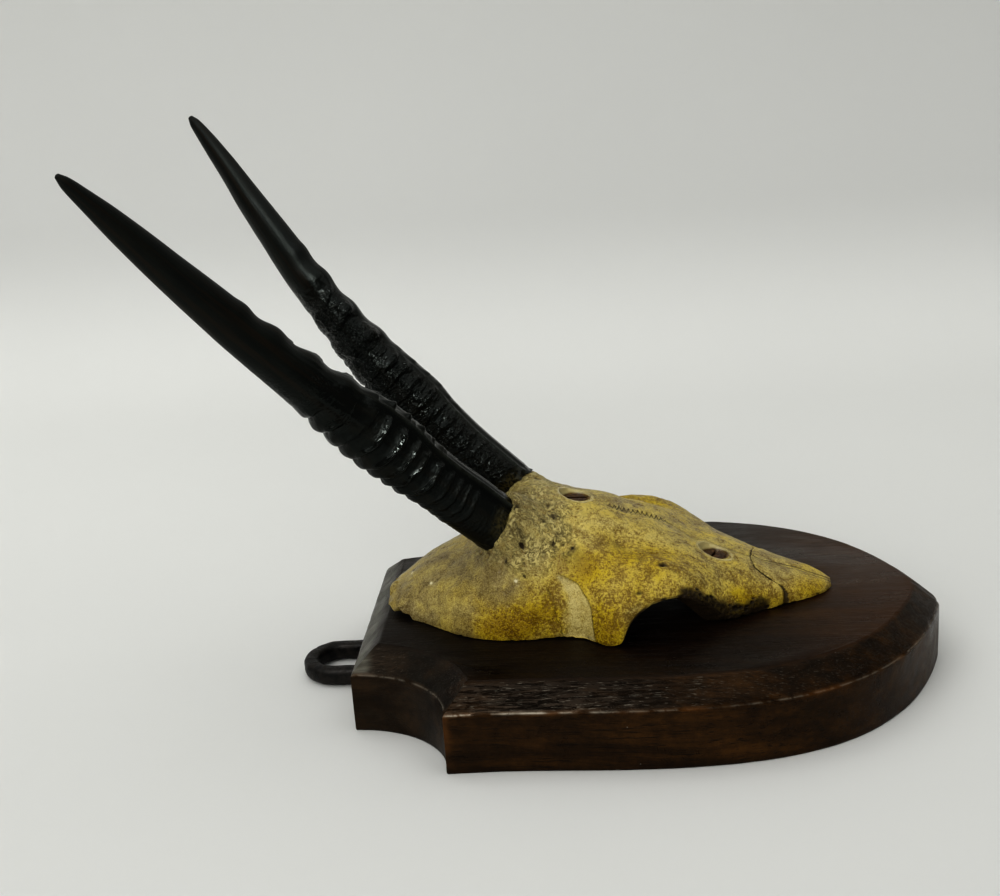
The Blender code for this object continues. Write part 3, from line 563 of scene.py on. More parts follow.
def grid_faces(start, rows, columns, closed=False):
    """Faces of a grid of vertices; closed joins its last column to its first."""
    i, j = np.meshgrid(np.arange(rows - 1), np.arange(columns if closed else columns - 1),
                       indexing="ij")
    n = (j + 1) % columns
    quads = np.stack((i * columns + j, (i + 1) * columns + j, (i + 1) * columns + n,
                      i * columns + n), axis=-1)
    return (quads.reshape(-1, 4) + start).tolist()


def make_piece(name, verts, faces, looks, values=(), smooth=True, sharp=None):
    """A mesh object in metres, from points in millimetres, with named values at its points."""
    mesh = bpy.data.meshes.new(name)
    mesh.from_pydata((np.asarray(verts) * MM).tolist(), [], faces)
    for key, value in dict(values).items():
        value = np.asarray(value, dtype=np.float32)
        in_space = value.ndim > 1 and value.shape[-1] == 3
        layer = mesh.attributes.new(key, "FLOAT_VECTOR" if in_space else "FLOAT", "POINT")
        layer.data.foreach_set("vector" if in_space else "value", value.ravel())
    bm = bmesh.new()
    bm.from_mesh(mesh)
    bmesh.ops.recalc_face_normals(bm, faces=bm.faces)
    bm.to_mesh(mesh)
    bm.free()
    for look in looks:
        mesh.materials.append(look)
    if smooth:
        mesh.shade_smooth()
        if sharp is not None:
            mesh.set_sharp_from_angle(angle=radians(sharp))
    made = bpy.data.objects.new(name, mesh)
    bpy.context.scene.collection.objects.link(made)
    return made


def carve(piece, cutters, added=None):
    """Join one shape to a piece, if there is one, and take the cutters out of it for good."""
    tools = [(added, "UNION", "INDEX")] if added else []
    tools += [(cutter, "DIFFERENCE", "TRANSFER") for cutter in cutters]
    for tool, operation, materials in tools:
        boolean = piece.modifiers.new("cut", "BOOLEAN")
        boolean.operation = operation
        boolean.solver = "EXACT"
        boolean.material_mode = materials
        boolean.object = tool
    bpy.context.view_layer.update()
    graph = bpy.context.evaluated_depsgraph_get()
    finished = bpy.data.meshes.new_from_object(piece.evaluated_get(graph))
    piece.modifiers.clear()
    piece.data = finished
    for tool, _, _ in tools:
        bpy.data.objects.remove(tool, do_unlink=True)


def show(piece, node):
    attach(piece, "root")
    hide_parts(node)


def turned(profile, sides, wobble=0.0, seed=0):
    """Points and faces of a solid turned about Z from (radius, height) pairs."""
    angles = 2 * pi * np.arange(sides) / sides
    rings = []
    for radius, z in profile:
        ring = np.stack((radius * np.cos(angles), radius * np.sin(angles),
                         np.full(sides, z)), axis=-1)
        shape = 1 + wobble * noise(ring, 2.5, 2, seed)
        ring[:, :2] *= shape[:, None]
        rings.append(ring)
    verts = np.concatenate(rings)
    faces = grid_faces(0, len(profile), sides, closed=True)
    faces.append(list(range(sides)))
    faces.append(list(range(len(verts) - sides, len(verts))))
    return verts, faces


def placed(verts, spot, axis):
    """Points turned so that their Z lies along the axis, then moved to the spot."""
    turn = np.array(Vector((0, 0, 1)).rotation_difference(Vector(axis)).to_matrix())
    return np.asarray(verts) @ turn.T + np.array(spot)


# Materials


class Shade:
    """A number or colour that varies over a surface. Arithmetic on it adds nodes."""

    def __init__(self, socket):
        self.socket = socket
        self.tree = socket.id_data

    def __add__(self, other):
        return worked_out("ADD", self, other)

    def __sub__(self, other):
        return worked_out("SUBTRACT", self, other)

    def __rsub__(self, other):
        return worked_out("SUBTRACT", other, self)

    def __mul__(self, other):
        return worked_out("MULTIPLY", self, other)

    def __truediv__(self, other):
        return worked_out("DIVIDE", self, other)

    def __abs__(self):
        return worked_out("ABSOLUTE", self)


def feed(value, socket):
    """Give an input a fixed value, or join it to a shade."""
    if isinstance(value, Shade):
        value.tree.links.new(value.socket, socket)
    elif isinstance(value, tuple) and len(value) < len(socket.default_value):
        socket.default_value = (*value, 1.0)
    else:
        socket.default_value = value


def add_node(tree, kind, inputs, output=0, **settings):
    made = tree.nodes.new(kind)
    for key, value in settings.items():
        setattr(made, key, value)
    for key, value in inputs.items():
        feed(value, made.inputs[key])
    return Shade(made.outputs[output])


def worked_out(operation, *values):
    """The result of an operation on numbers and shades."""
    tree = [value.tree for value in values if isinstance(value, Shade)][0]
    return add_node(tree, "ShaderNodeMath", dict(enumerate(values)), operation=operation)


def on_vectors(operation, first, second, output=0):
    return add_node(first.tree, "ShaderNodeVectorMath", {0: first, 1: second}, output,
                    operation=operation)


def most(first, *others):
    for other in others:
        first = worked_out("MAXIMUM", first, other)
    return first


def blend(share, low, high, kind="MIX"):
    """Colour between two colours by a share."""
    tree = [value.tree for value in (share, low) if isinstance(value, Shade)][0]
    return add_node(tree, "ShaderNodeMix", {0: share, 6: low, 7: high}, 2, data_type="RGBA",
                    blend_type=kind)


def layered(colour, *layers):
    """Lay colours over a colour, each with its own share."""
    for share, tint in layers:
        colour = blend(share, colour, tint)
    return colour


def ramp(value, stops):
    """Colours on a slope of values, from (place, colour) pairs."""
    made = add_node(value.tree, "ShaderNodeValToRGB", {0: value})
    marks = made.socket.node.color_ramp.elements
    while len(marks) < len(stops):
        marks.new(0.5)
    for mark, (spot, colour) in zip(marks, stops):
        mark.position = spot
        mark.color = (*colour, 1.0)
    return made


def span(value, low, high, start=0.0, end=1.0):
    """A smooth change from the start to the end while the value goes from low to high."""
    bounds = {"Value": value, "From Min": low, "From Max": high, "To Min": start, "To Max": end}
    return add_node(value.tree, "ShaderNodeMapRange", bounds, interpolation_type="SMOOTHSTEP")


def swung(value, strength):
    """A noise about its middle, made stronger or weaker."""
    return (value - 0.5) * strength


def thin_line(away, width):
    """1 on a line where a distance in millimetres is 0, 0 beside it."""
    return span(abs(away) / width, 0.35, 1.0, 1.0, 0.0)


class Look:
    """A material whose looks follow the part's own coordinates, or those of a horn's skin."""

    def __init__(self, name, skin=False):
        self.material = bpy.data.materials.new(name)
        self.material.use_nodes = True
        self.tree = self.material.node_tree
        self.inputs = self.tree.nodes["Principled BSDF"].inputs
        self.skin = skin
        self.whole = self.place((1.0, 1.0, 1.0))

    def place(self, scale):
        """Coordinates scaled along each axis. A skin's are those of a straightened horn."""
        if self.skin:
            spot = add_node(self.tree, "ShaderNodeAttribute", {}, "Vector", attribute_name="skin")
        else:
            spot = add_node(self.tree, "ShaderNodeTexCoord", {}, "Object")
        return on_vectors("MULTIPLY", spot, scale)

    def axes(self):
        apart = add_node(self.tree, "ShaderNodeSeparateXYZ", {0: self.whole})
        return [Shade(socket) for socket in apart.socket.node.outputs]

    def grain(self, scale, detail=4.0, rough=0.55, twist=0.0, place=None):
        """Noise, finer for a larger scale. A scale for each axis draws it out."""
        if isinstance(scale, tuple):
            place = self.place(scale)
            scale = 1.0
        inputs = {"Vector": place or self.whole, "Scale": scale, "Detail": detail,
                  "Roughness": rough, "Distortion": twist}
        return add_node(self.tree, "ShaderNodeTexNoise", inputs, "Fac")

    def grains(self, table):
        return [self.grain(*row) for row in table]

    def value(self, name):
        return add_node(self.tree, "ShaderNodeAttribute", {}, "Fac", attribute_name=name)

    def values(self, *names):
        return [self.value(name) for name in names]

    def finish(self, colour, roughness, height=None, distance=MM, strength=1.0, **fixed):
        """Join up colour, roughness and relief. In the other names, _ stands for a space."""
        feed(colour, self.inputs["Base Color"])
        feed(roughness, self.inputs["Roughness"])
        for key, value in fixed.items():
            feed(value, self.inputs[key.replace("_", " ")])
        if height is not None:
            bump = {"Height": height, "Distance": distance, "Strength": strength}
            feed(add_node(self.tree, "ShaderNodeBump", bump), self.inputs["Normal"])
        return self.material


def bone_look():
    look = Look("stained bone")
    x, y, _ = look.axes()
    broad, mottle, fine, powder, fibre, crust = look.grains(BONE_GRAINS)
    stain, pale, rough_zone, zigzag = look.values("stain", "pale", "rough", "seam")
    near_middle = span(abs(y), 0.008, 0.015, 0.7, 0.0) * span(x, -0.012, -0.004)
    grains = blend(rough_zone, blend(near_middle, fine, fibre), crust)
    braincase = span(x, -0.038, -0.027, 1.0, 0.0)
    plain = most(braincase * span(stain, 0.50, 0.85, 1.0, 0.0), span(pale, 0.30, 0.58))
    plain = plain * (1.0 - rough_zone)
    grit = 1.0 - plain * 0.65

    # yellow, tan and grey patches
    tone = stain + swung(broad, 1.1) + swung(mottle, 0.45) + swung(fine, 0.25)
    light = worked_out("MINIMUM", pale, 1.0) * span(mottle, 0.25, 0.6, 0.7, 1.0)
    patch = braincase * span(mottle + swung(broad, 0.8), 0.30, 0.72, 0.56, 0.20)
    patch = patch * span(stain, 0.50, 0.85, 1.0, 0.1)
    colour = layered(ramp(tone, BONE_TONES), (light, BONE_PALE), (patch, BONE_BROWN))

    # painted shading of the grain: light crests and dark hollows, on top of its mottled tone
    depth = (swung(grains, 2.2) * grit + swung(fine, 1.3) * grit + swung(mottle, 2.6) * grit
             + swung(broad, 1.3) * grit + swung(powder, 2.4) + rough_zone * 0.14 + pale * 0.25
             + 0.50)
    colour = blend(1.0, colour, ramp(depth, BONE_SHADES), "MULTIPLY")
    speck = span(fine, 0.62, 0.72, 0.0, 0.18) * span(mottle, 0.42, 0.58) * grit
    flake = span(pale, 1.05, 1.3, 0.0, 0.9)

    # dirt and painted shade in hollows, cracks and seams
    crevice = span(abs(crust - 0.5), 0.0, 0.040, 1.0, 0.0) * span(rough_zone, 0.1, 0.8, 0.0, 0.80)
    crevice = crevice * span(mottle, 0.36, 0.56) * grit
    wander = swung(mottle, 1.6) + swung(fine, 0.8)
    swing = worked_out("PINGPONG", x * (1 / MM) + wander * 0.5, SEAM_PITCH / 2)
    swing = (swing - SEAM_PITCH / 4) * zigzag
    width = span(mottle, 0.35, 0.60, 0.22, 0.42) + zigzag * 0.10
    seam = thin_line(look.value("middle") + (swing + wander), width) * look.value("seam_shown")
    twin = span(abs(abs(look.value("nasal") + wander * 0.5) - 0.75), 0.08, 0.30, 0.75, 0.0)
    crack = thin_line(look.value("crack") + wander, look.value("crack_width"))
    plate = thin_line(look.value("plate") + wander * 0.7, 0.24)
    plate = plate * span(mottle, 0.40, 0.58, 0.45, 0.9)
    behind = thin_line(look.value("behind") + wander * 2.0, span(mottle, 0.3, 0.6, 0.08, 0.30))
    behind = behind * span(fine, 0.42, 0.55, 0.0, 0.65)
    lines = most(seam, crack, twin, plate, behind)
    dirt = most(span(look.value("dirt") + swung(fine, 0.7), 0.15, 0.95), lines * 0.9)
    colour = layered(colour, (speck, BONE_SPECK), (flake, BONE_FLAKE), (crevice, BONE_CREVICE),
                     (dirt, BONE_DIRT_AND_SHADE))
    roughness = span(mottle, 0.3, 0.7, 0.26, 0.46) + dirt * 0.2
    height = (grains * grit * 0.50 + powder * 0.07 + mottle * 0.55 - lines * 0.28
              - crevice * 0.25)
    return look.finish(colour, roughness, height, Specular_IOR_Level=0.26)


def horn_look():
    """Looks that follow the horn's own length: x and y go round it, z runs along it."""
    look = Look("black horn", skin=True)
    mottle, stripe, fine, bits, hair = look.grains(HORN_GRAINS)
    dull, sparkle = look.values("dull", "sparkle")
    brown = span(dull, 0.0, 1.0, 0.3, 1.0) * span(stripe, 0.48, 0.64)
    green = dull * span(stripe, 0.32, 0.46, 0.8, 0.0)
    edge = look.value("edge") * span(fine, 0.3, 0.6, 0.4, 1.0)
    rim = look.value("rim") * span(fine, 0.35, 0.60)
    colour = layered(ramp(mottle, HORN_TONES), (brown, HORN_BROWN), (green, HORN_GREEN),
                     (edge, HORN_EDGE), (rim, HORN_RIM))
    matt = most(sparkle * span(fine, 0.42, 0.52, 1.0, 0.0), look.value("groove"))
    roughness = span(mottle, 0.32, 0.68, 0.06, 0.13) + dull * 0.36 + matt * 0.34
    height = bits * sparkle + fine * 0.06 + hair * 0.035
    return look.finish(colour, roughness, height, Specular_IOR_Level=0.24,
                       Specular_Tint=HORN_GLEAM)


def wood_look():
    look = Look("stained wood")
    sway, band, blotch, fibre, rays, glint_dash, dents = look.grains(WOOD_GRAINS)
    bent = on_vectors("ADD", look.place((14.0, 210.0, 210.0)),
                      on_vectors("MULTIPLY", sway, (0.0, 5.0, 5.0)))
    streak = look.grain(1.0, 7.0, 0.66, place=bent)
    dots = add_node(look.tree, "ShaderNodeTexVoronoi", {"Vector": look.whole, "Scale": 190.0},
                    "Distance")
    # grime, with painted shade along the foot
    grime, rough_cut = look.values("grime", "cut")
    tone = streak * 0.45 + band * 0.25 + blotch * 0.30 + swung(rays, 0.22)
    vein = span(fibre, 0.54, 0.66, 0.0, 0.75)
    wear = look.value("wear") * span(blotch, 0.40, 0.60, 0.15, 1.0)
    speck = span(dots, 0.02, 0.045, 1.0, 0.0) * span(band, 0.50, 0.60, 0.0, 0.55)
    sooty = rough_cut * span(streak, 0.42, 0.58, 0.85, 0.15)
    # painted glints: short pale dashes on the cut slant
    glint_dash = span(glint_dash, 0.60, 0.68, 0.0, 0.55) * rough_cut
    x, _, z = look.axes()
    table = span(z, 0.0225, 0.0230)
    # painted shadow over the top, fading out towards the point
    dark = table * span(x, 0.02, 0.07, 0.75, 0.0)
    # painted warm sheen on the top near the point
    top_sheen = table * span(x, 0.02, 0.08, 0.0, 0.5)
    # painted highlight: a thin pale line along the near rim
    gleam = look.value("gleam") * span(rays, 0.36, 0.52, 0.2, 1.0)
    # painted sheen on the end slant, and a little grey over the scoop
    ashy = look.value("ashy") * span(streak, 0.40, 0.60, 0.35, 0.9)
    colour = layered(ramp(tone, WOOD_TONES), (vein, WOOD_VEIN), (wear, WOOD_WORN),
                     (grime, WOOD_GRIME_AND_SHADE), (speck, WOOD_SPECK), (sooty, WOOD_SOOT),
                     (glint_dash, WOOD_GLINT), (dark, WOOD_TOP_SHADOW), (top_sheen, WOOD_TOP_SHEEN),
                     (gleam, WOOD_RIM_HIGHLIGHT), (ashy, WOOD_SHEEN_GREY))
    roughness = span(blotch, 0.35, 0.65, 0.26, 0.42) + grime * 0.12 - look.value("rim") * 0.14
    height = (streak * 0.16 - vein * 0.05 - span(dents, 0.50, 0.66) * rough_cut * 0.22
              + rays * 0.035)
    return look.finish(colour, roughness, height, strength=0.8, Specular_IOR_Level=0.20,
                       Specular_Tint=WOOD_GLEAM)


def metal_look(name, dark, light, roughness, metallic, scale):
    look = Look(name)
    mottle = look.grain(scale, 6.0, 0.65)
    fine = look.grain(4 * scale)
    uneven = span(fine, 0.3, 0.7, roughness - 0.12, roughness + 0.14)
    return look.finish(ramp(mottle, ((0.38, dark), (0.68, light))), uneven, mottle + fine * 0.4,
                       0.0003, 0.7, Metallic=metallic)


def hole_look():
    """The cut bone inside a screw hole, with a pale lip."""
    look = Look("cut bone")
    mottle = look.grain(900.0, 5.0, 0.65)
    colour = ramp(mottle, CUT_BONE)
    for x, y in SKULL_HOLES:
        away = on_vectors("DISTANCE", look.place((1.0, 1.0, 0.0)), (x * MM, y * MM, 0.0), "Value")
        lip = span(away, 0.0039, 0.0043) * span(away, 0.008, 0.009, 1.0, 0.0)
        colour = blend(lip, colour, HOLE_LIP)
    return look.finish(colour, 0.32, mottle, 0.0003, 0.8)


# Skull


def horn_frame(side):
    mirror = np.array((1.0, side, 1.0))
    base = np.array(HORN_BASE) * mirror
    tip = np.array(HORN_TIP) * mirror
    along = (tip - base) / np.linalg.norm(tip - base)
    out = np.array((0.0, float(side), 0.0))
    out -= along * (out @ along)
    out /= np.linalg.norm(out)
    front = np.cross(along, out) * -side
    return base, tip, along, front, out


def skull_surface(x, across):
    """Points of the bone's outside before it is worked over; across runs from -1 to 1."""
    half_width = flowing(SKULL_STATIONS, 1, x)
    lift = flowing(SKULL_STATIONS, 2, x)
    height = flowing(SKULL_STATIONS, 3, x)
    power = 2.0 / flowing(SKULL_STATIONS, 4, x)
    turn = across * pi / 2
    y = half_width * np.sign(across) * np.abs(np.sin(turn)) ** power
    z = lift + (height - lift) * np.abs(np.cos(turn)) ** power
    hold = ease(np.cos(turn), *RELIEF_EDGE)
    for cx, cy, length, width, high in SKULL_RELIEF:
        shape = np.exp(-((x - cx) / length) ** 2 - ((np.abs(y) - cy) / width) ** 2)
        z = z + high * shape * hold
        y = y + RELIEF_OUT * high * shape * (1 - hold) * np.sign(across)
    return np.stack((x + 0 * y, y, z + PLAQUE_THICK + GAP), axis=-1)


def near_horn(points, side):
    """Level above a horn's seat and distance from its axis."""
    base, _, along, front, _ = horn_frame(side)
    offset = points - base
    level = offset @ along
    flat = offset - level[..., None] * along
    seat = SEAT_SHIFT[side] + SEAT_LEAN[side] * (flat @ front) - GAP
    return level - seat, np.linalg.norm(flat, axis=-1), along


def raise_pedicles(points):
    """Raise the bone to the horns' seats."""
    for side in (-1, 1):
        over, reach, along = near_horn(points, side)
        rise = fall(reach, PEDICLE_INNER, PEDICLE_OUTER) * (points[..., 2] > PEDICLE_FLOOR)
        target = -PEDICLE_SLOPE * np.maximum(0.0, reach - PEDICLE_INNER)
        points = points + ((target - over) * rise)[..., None] * along
    return points


def across_line(value, along, line):
    """How far a value lies from a line, which is given by pairs of along and value."""
    return value - np.interp(along, *np.array(line).T)


def by_crack(x):
    return np.abs(x - CRACK_X) < CRACK_REACH


def bone_lines(points):
    """Signed distances in millimetres to the bone's seams and cracks, and how they show."""
    x, y, z = points[..., 0], points[..., 1], points[..., 2]
    middle = across_line(y, x, MIDLINE)
    side = ease(np.abs(y), 21.0, 25.0)
    plate_side = side * (1 - 0.65 * ease(z, 31.0, 36.0)) * fall(z, 38.0, 41.0)
    plate = (x - np.interp(z, PLATE_LEVELS, PLATE_FRONT)) / np.maximum(plate_side, 0.02)
    behind = across_line(x, z, BEHIND_PLATE) / np.maximum(side * fall(z, 36.5, 38.0), 0.02)
    shown = 0.9 - 0.55 * ease(x, SEAM_END - 1.0, SEAM_END + 2.0)
    shown = shown * ease(noise(points, 3.5, 2, 101), -0.9, -0.2)
    return {"middle": middle,
            "seam": SEAM_SWING * ease(x, *SEAM_START) * fall(x, SEAM_END - 3.0, SEAM_END),
            "seam_shown": shown * ease(x, -13.0, -9.0) * fall(x, 29.0, 30.0),
            "nasal": np.where(x > NASAL_START - 0.6, middle, FAR_OFF),
            "crack": np.where(by_crack(x), 0.85 * across_line(x, y, CRACK), FAR_OFF),
            "crack_width": 0.16 + 0.42 * ease(-y, 6.5, 10.5) + 0.10 * ease(y, 6.0, 9.0),
            "plate": np.where((z > 28.0) | (np.abs(y) > 20.0), plate, FAR_OFF),
            "behind": behind}


def bone_marks(points):
    """How far each point of the bone moves along its normal, and how its colour varies."""
    x, y, z = points[..., 0], points[..., 1], points[..., 2]
    sided = both_sides(points)
    move = 0.16 * noise(points, 9.0, 3, 11) + 0.05 * noise(points, 2.2, 3, 23)
    move += 0.22 * mound(sided, *UNEVEN_BRAINCASE) * noise(points, 6.0, 3, 29)
    dirt = 0.16 * ridges(points, 7.0, 3, 5) - 0.08

    # rough, cracked bone round the horns
    rough = 0.9 * mound(points, *BETWEEN_HORNS)
    fading = 3.4 + 3.0 * ease(x, -44.0, -36.0)
    for side in (-1, 1):
        reach = near_horn(points, side)[1]
        ring = bell(np.maximum(0.0, reach - 9.5), fading) * ease(z, 34.0, 42.0)
        rough = np.maximum(rough, ring)
    crust = ridges(points, 2.6, 4, 41)
    move += rough * (crust - 0.62 + 0.20 * noise(points, 1.3, 2, 57))
    hollow = 0.28 * pores(points, 5.0, 0.40, 71) * ease(rough, 0.45, 0.8)
    for spot in ROOT_PITS:
        hollow = np.maximum(hollow, mound(points, spot, (0.55, 0.4, 0.55)))
    slit = stroke(points, ROOT_SLIT, 0.35)
    move -= 0.60 * hollow + 0.35 * slit
    # the pits, the slit and the crust's hollows darker: dirt and painted shade
    dirt += 0.95 * hollow + 0.8 * slit + rough * 0.40 * ease(0.61 - crust, 0.0, 0.12)

    # small pores everywhere, more on the forehead and the nose
    tiny = pores(points, 2.6, 0.40, 83) * ease(noise(points, 12.0, 2, 9), -0.35, 0.3)
    move -= 0.12 * tiny
    dirt += 0.40 * tiny

    # seams sit in shallow grooves, and the bone's two parts are uneven at the crack
    middle = across_line(y, x, MIDLINE)
    move -= ease(x, *SEAM_START) * (0.12 * bell(middle, 0.9) + 0.22 * bell(middle, 2.6))
    crack = across_line(x, y, CRACK)
    wide = 0.30 + 0.30 * ease(-y, 6.5, 10.5)
    move -= 0.9 * wide * bell(crack, wide) * by_crack(x)
    move += 0.18 * ease(crack, -0.2, 0.5) * np.exp(-np.maximum(0.0, crack) / 3.0)

    # pits, a channel, folds and a scar over the eye and behind it
    bent = sided + 0.5 * np.stack([noise(points, 1.6, 2, k) for k in (151, 152, 153)], axis=-1)
    pit = mound(bent, EYE_PIT, (1.25, 0.9, 0.75))
    channel = stroke(bent, EYE_CHANNEL, 0.75)
    oval = mound(bent, EYE_OVAL, (1.25, 1.6, 0.75))
    move -= 1.1 * pit + 0.40 * channel + 0.50 * oval
    dirt += 0.62 * pit + 0.14 * channel + 0.35 * oval
    for line, width, amount in BONE_FOLDS:
        move += amount * stroke(sided, line, width)

    # pale crescent plate with a step on its front side and a line behind it
    left = np.interp(z, PLATE_LEVELS, PLATE_BACK)
    right = np.interp(z, PLATE_LEVELS, PLATE_FRONT)
    wall = ease(np.abs(y), 22.0, 26.0) * ease(z, 23.0, 24.2)
    wobble = 0.45 * noise(points, 3.0, 2, 131)
    plate = ease(x + 2.4 * wobble, left - 1.3, left + 1.3) * wall
    plate *= fall(x + 0.4 * wobble, right - 0.25, right + 0.25) * fall(z, 39.6, 40.8)
    step = ease(x + 0.4 * wobble, right - 0.2, right + 0.35) * wall
    step *= np.exp(-np.maximum(0.0, x - right) / 2.6) * fall(z, 39.5, 41.5)
    move += 0.50 * step - 0.18 * plate
    move -= 0.30 * bell(across_line(x, z, BEHIND_PLATE), 0.5) * wall * fall(z, 36.0, 38.0)

    # spongy dark edge in front of the eye socket
    edge = line_distance(sided, SPONGY_EDGE) + 0.9 * noise(points, 2.6, 2, 207)
    sponge = fall(edge, 1.6, 4.2)
    holes = pores(points, 1.8, 0.60, 211)
    move -= sponge * (0.6 * holes + 0.45 * ridges(points, 1.8, 3, 219) - 0.2)
    dirt += sponge * (0.80 + 0.5 * holes)

    # the worn and chipped cut edge, darker along the bottom and most of all by the nose
    above = z - (flowing(SKULL_STATIONS, 2, x) + PLAQUE_THICK + GAP)
    low = fall(above, 0.2, 1.6)
    dirt += 0.42 * low * ease(noise(points, 3.0, 2, 301), -0.4, 0.5)
    dirt += 0.55 * fall(above, 0.3, 1.1) * ease(x, -8.0, -4.0) * fall(x, 19.0, 22.0)

    # where the bone is yellow, brown or pale
    stain = with_mounds(0.30 + 0.10 * noise(points, 6.0, 3, 151), points, STAINS)
    dirt = with_mounds(dirt, points, DIRT_AND_SHADE_PATCHES)
    pale = with_mounds(0.78 * plate + 0.80 * rough, points, PALE_PATCHES + WHITE_FLAKES)
    pale += 0.55 * mound(sided, *FAR_BROW) * (y > 0) + 0.50 * stroke(sided, PALE_STREAK, 0.9)
    for x_hole, y_hole in SKULL_HOLES:
        from_hole = np.hypot(x - x_hole, y - y_hole) + 0.25 * noise(points, 1.8, 2, 411)
        pale += 1.2 * bell(from_hole - 4.8, 0.38)
        move += 0.10 * bell(from_hole - 5.3, 0.7)
    chips = ease(noise(points, 1.6, 2, 401), 0.25, 0.6) * low
    pale += 0.8 * chips * mound(sided, *CHIPPED_RIM)
    return move, {"stain": np.clip(stain, 0.0, 1.1), "dirt": np.clip(dirt, 0.0, 1.3),
                  "pale": np.clip(pale, 0.0, 1.4), "rough": np.clip(1.2 * rough, 0.0, 1.0)}


def chipped_edge(points, across):
    """Lift the cut edge here and there, most at the back."""
    x = points[..., 0]
    near = ease(np.abs(across), 0.90, 1.0)
    chip = np.maximum(0.0, noise(points * np.array((1.0, 0.3, 0.0)), 3.2, 3, 501) - 0.1)
    size = 0.35 + 2.2 * fall(x, -72.0, -56.0)
    tooth = np.maximum(0.0, lumps(points * np.array((0.0, 1.0, 0.0)), 3.3, 517))
    notch = bell(x + 71.6, 0.9) * ease(np.abs(across), 0.75, 0.95)
    points[..., 2] += near * chip * size + 2.2 * fall(x, -75.0, -72.6) * tooth + 1.6 * notch
    return points


def skull_rows(first, last, count):
    share = np.linspace(0.0, 1.0, count + 1)
    eased = 0.62 * share + 0.38 * (0.5 - 0.5 * np.cos(pi * share))
    return first + (last - first) * eased


def inner_surface(x, across):
    step = 0.01
    along = skull_surface(x + step * 10, across) - skull_surface(x - step * 10, across)
    over = skull_surface(x, np.clip(across + step, -0.999, 0.999)) - skull_surface(
        x, np.clip(across - step, -0.999, 0.999))
    normal = np.cross(along, over)
    normal /= np.linalg.norm(normal, axis=-1)[..., None] + 1e-9
    return skull_surface(x, across) - normal * BONE_THICK


def border(rows, columns):
    """Numbers of a grid's edge vertices, once round."""
    number = np.arange(rows * columns).reshape(rows, columns)
    return np.concatenate((number[0], number[1:, -1], number[-1, ::-1][1:],
                           number[1:-1, 0][::-1]))


def surface_height(x, y):
    across = np.linspace(-0.9, 0.9, 181)
    points = skull_surface(np.full_like(across, x), across)
    return float(np.interp(y, points[:, 1], points[:, 2]))


def skull_hole(x, y):
    z = surface_height(x, y)
    run = 3.0
    slope_x = (surface_height(x + run, y) - surface_height(x - run, y)) / (2 * run)
    slope_y = (surface_height(x, y + run) - surface_height(x, y - run)) / (2 * run)
    axis = Vector((-slope_x * SCREW_LEAN, -slope_y * SCREW_LEAN, 1.0)).normalized()
    return Vector((x, y, z)), axis


def screw_in_bone(x, y):
    """Where a skull screw's head lies, the screw's axis and its length."""
    rim, axis = skull_hole(x, y)
    head = rim - axis * HEAD_SINK
    return head, axis, (head.z - PLAQUE_THICK + SCREW_BITE) / axis.z


def stitched(outer_edge, inner_edge):
    """Faces between a fine edge and one that has a vertex for every few of it."""
    faces = []
    middle = INNER_STEP // 2
    for k, here in enumerate(inner_edge):
        after = inner_edge[(k + 1) % len(inner_edge)]
        run = [outer_edge[(INNER_STEP * k + n) % len(outer_edge)] for n in range(INNER_STEP + 1)]
        faces += [(run[n], run[n + 1], here) for n in range(middle)]
        faces.append((run[middle], after, here))
        faces += [(run[n], run[n + 1], after) for n in range(middle, INNER_STEP)]
    return faces


def build_skull(look, cut_look):
    back = SKULL_STATIONS[0][0]
    nose = SKULL_STATIONS[-1][0]
    rows = skull_rows(back, nose, SKULL_ROWS)
    columns = np.linspace(-1.0, 1.0, SKULL_COLUMNS + 1)
    x, across = np.meshgrid(rows, columns, indexing="ij")
    outer = raise_pedicles(skull_surface(x, across))
    outward = np.stack((0 * x, np.sign(outer[..., 1]), 2 + 0 * x), axis=-1)
    normals = outward_normals(outer, outward)
    move, values = bone_marks(outer)
    # darker where the bone is moved in: painted shade in its hollows
    values["dirt"] += 0.40 * ease(-move, 0.12, 0.50)
    values.update(bone_lines(outer))
    outer = chipped_edge(outer + normals * move[..., None], across)
    outer[..., 2] = np.maximum(outer[..., 2], PLAQUE_THICK + 0.15)
    inner_x = np.interp(rows[::INNER_STEP], (back, nose), (back + INNER_BACK, nose - INNER_NOSE))
    x, across = np.meshgrid(inner_x, columns[::INNER_STEP] * INNER_REACH, indexing="ij")
    inner = inner_surface(x, across)
    for column in (0, -1):
        inner[:, column, 2] = outer[::INNER_STEP, column, 2] + 0.15
    count = outer[..., 0].size
    verts = np.concatenate((outer.reshape(-1, 3), inner.reshape(-1, 3)))
    faces = grid_faces(0, *outer.shape[:2]) + grid_faces(count, *inner.shape[:2])
    faces += stitched(border(*outer.shape[:2]), border(*inner.shape[:2]) + count)
    values = {key: np.concatenate((value.ravel(), np.full(x.size, INNER_VALUES.get(key, 0.0))))
              for key, value in values.items()}
    skull = make_piece("skull_plate", verts, faces, [look], values)
    cutters = []
    for k, (x, y) in enumerate(SKULL_HOLES):
        points, sides = turned(HOLE_PROFILE, 56, 0.035, 600 + k)
        cutters.append(make_piece("hole", placed(points, *skull_hole(x, y)), sides, [cut_look]))
    carve(skull, cutters)
    skull.data.set_sharp_from_angle(angle=radians(75))
    show(skull, "skull")


# Horns


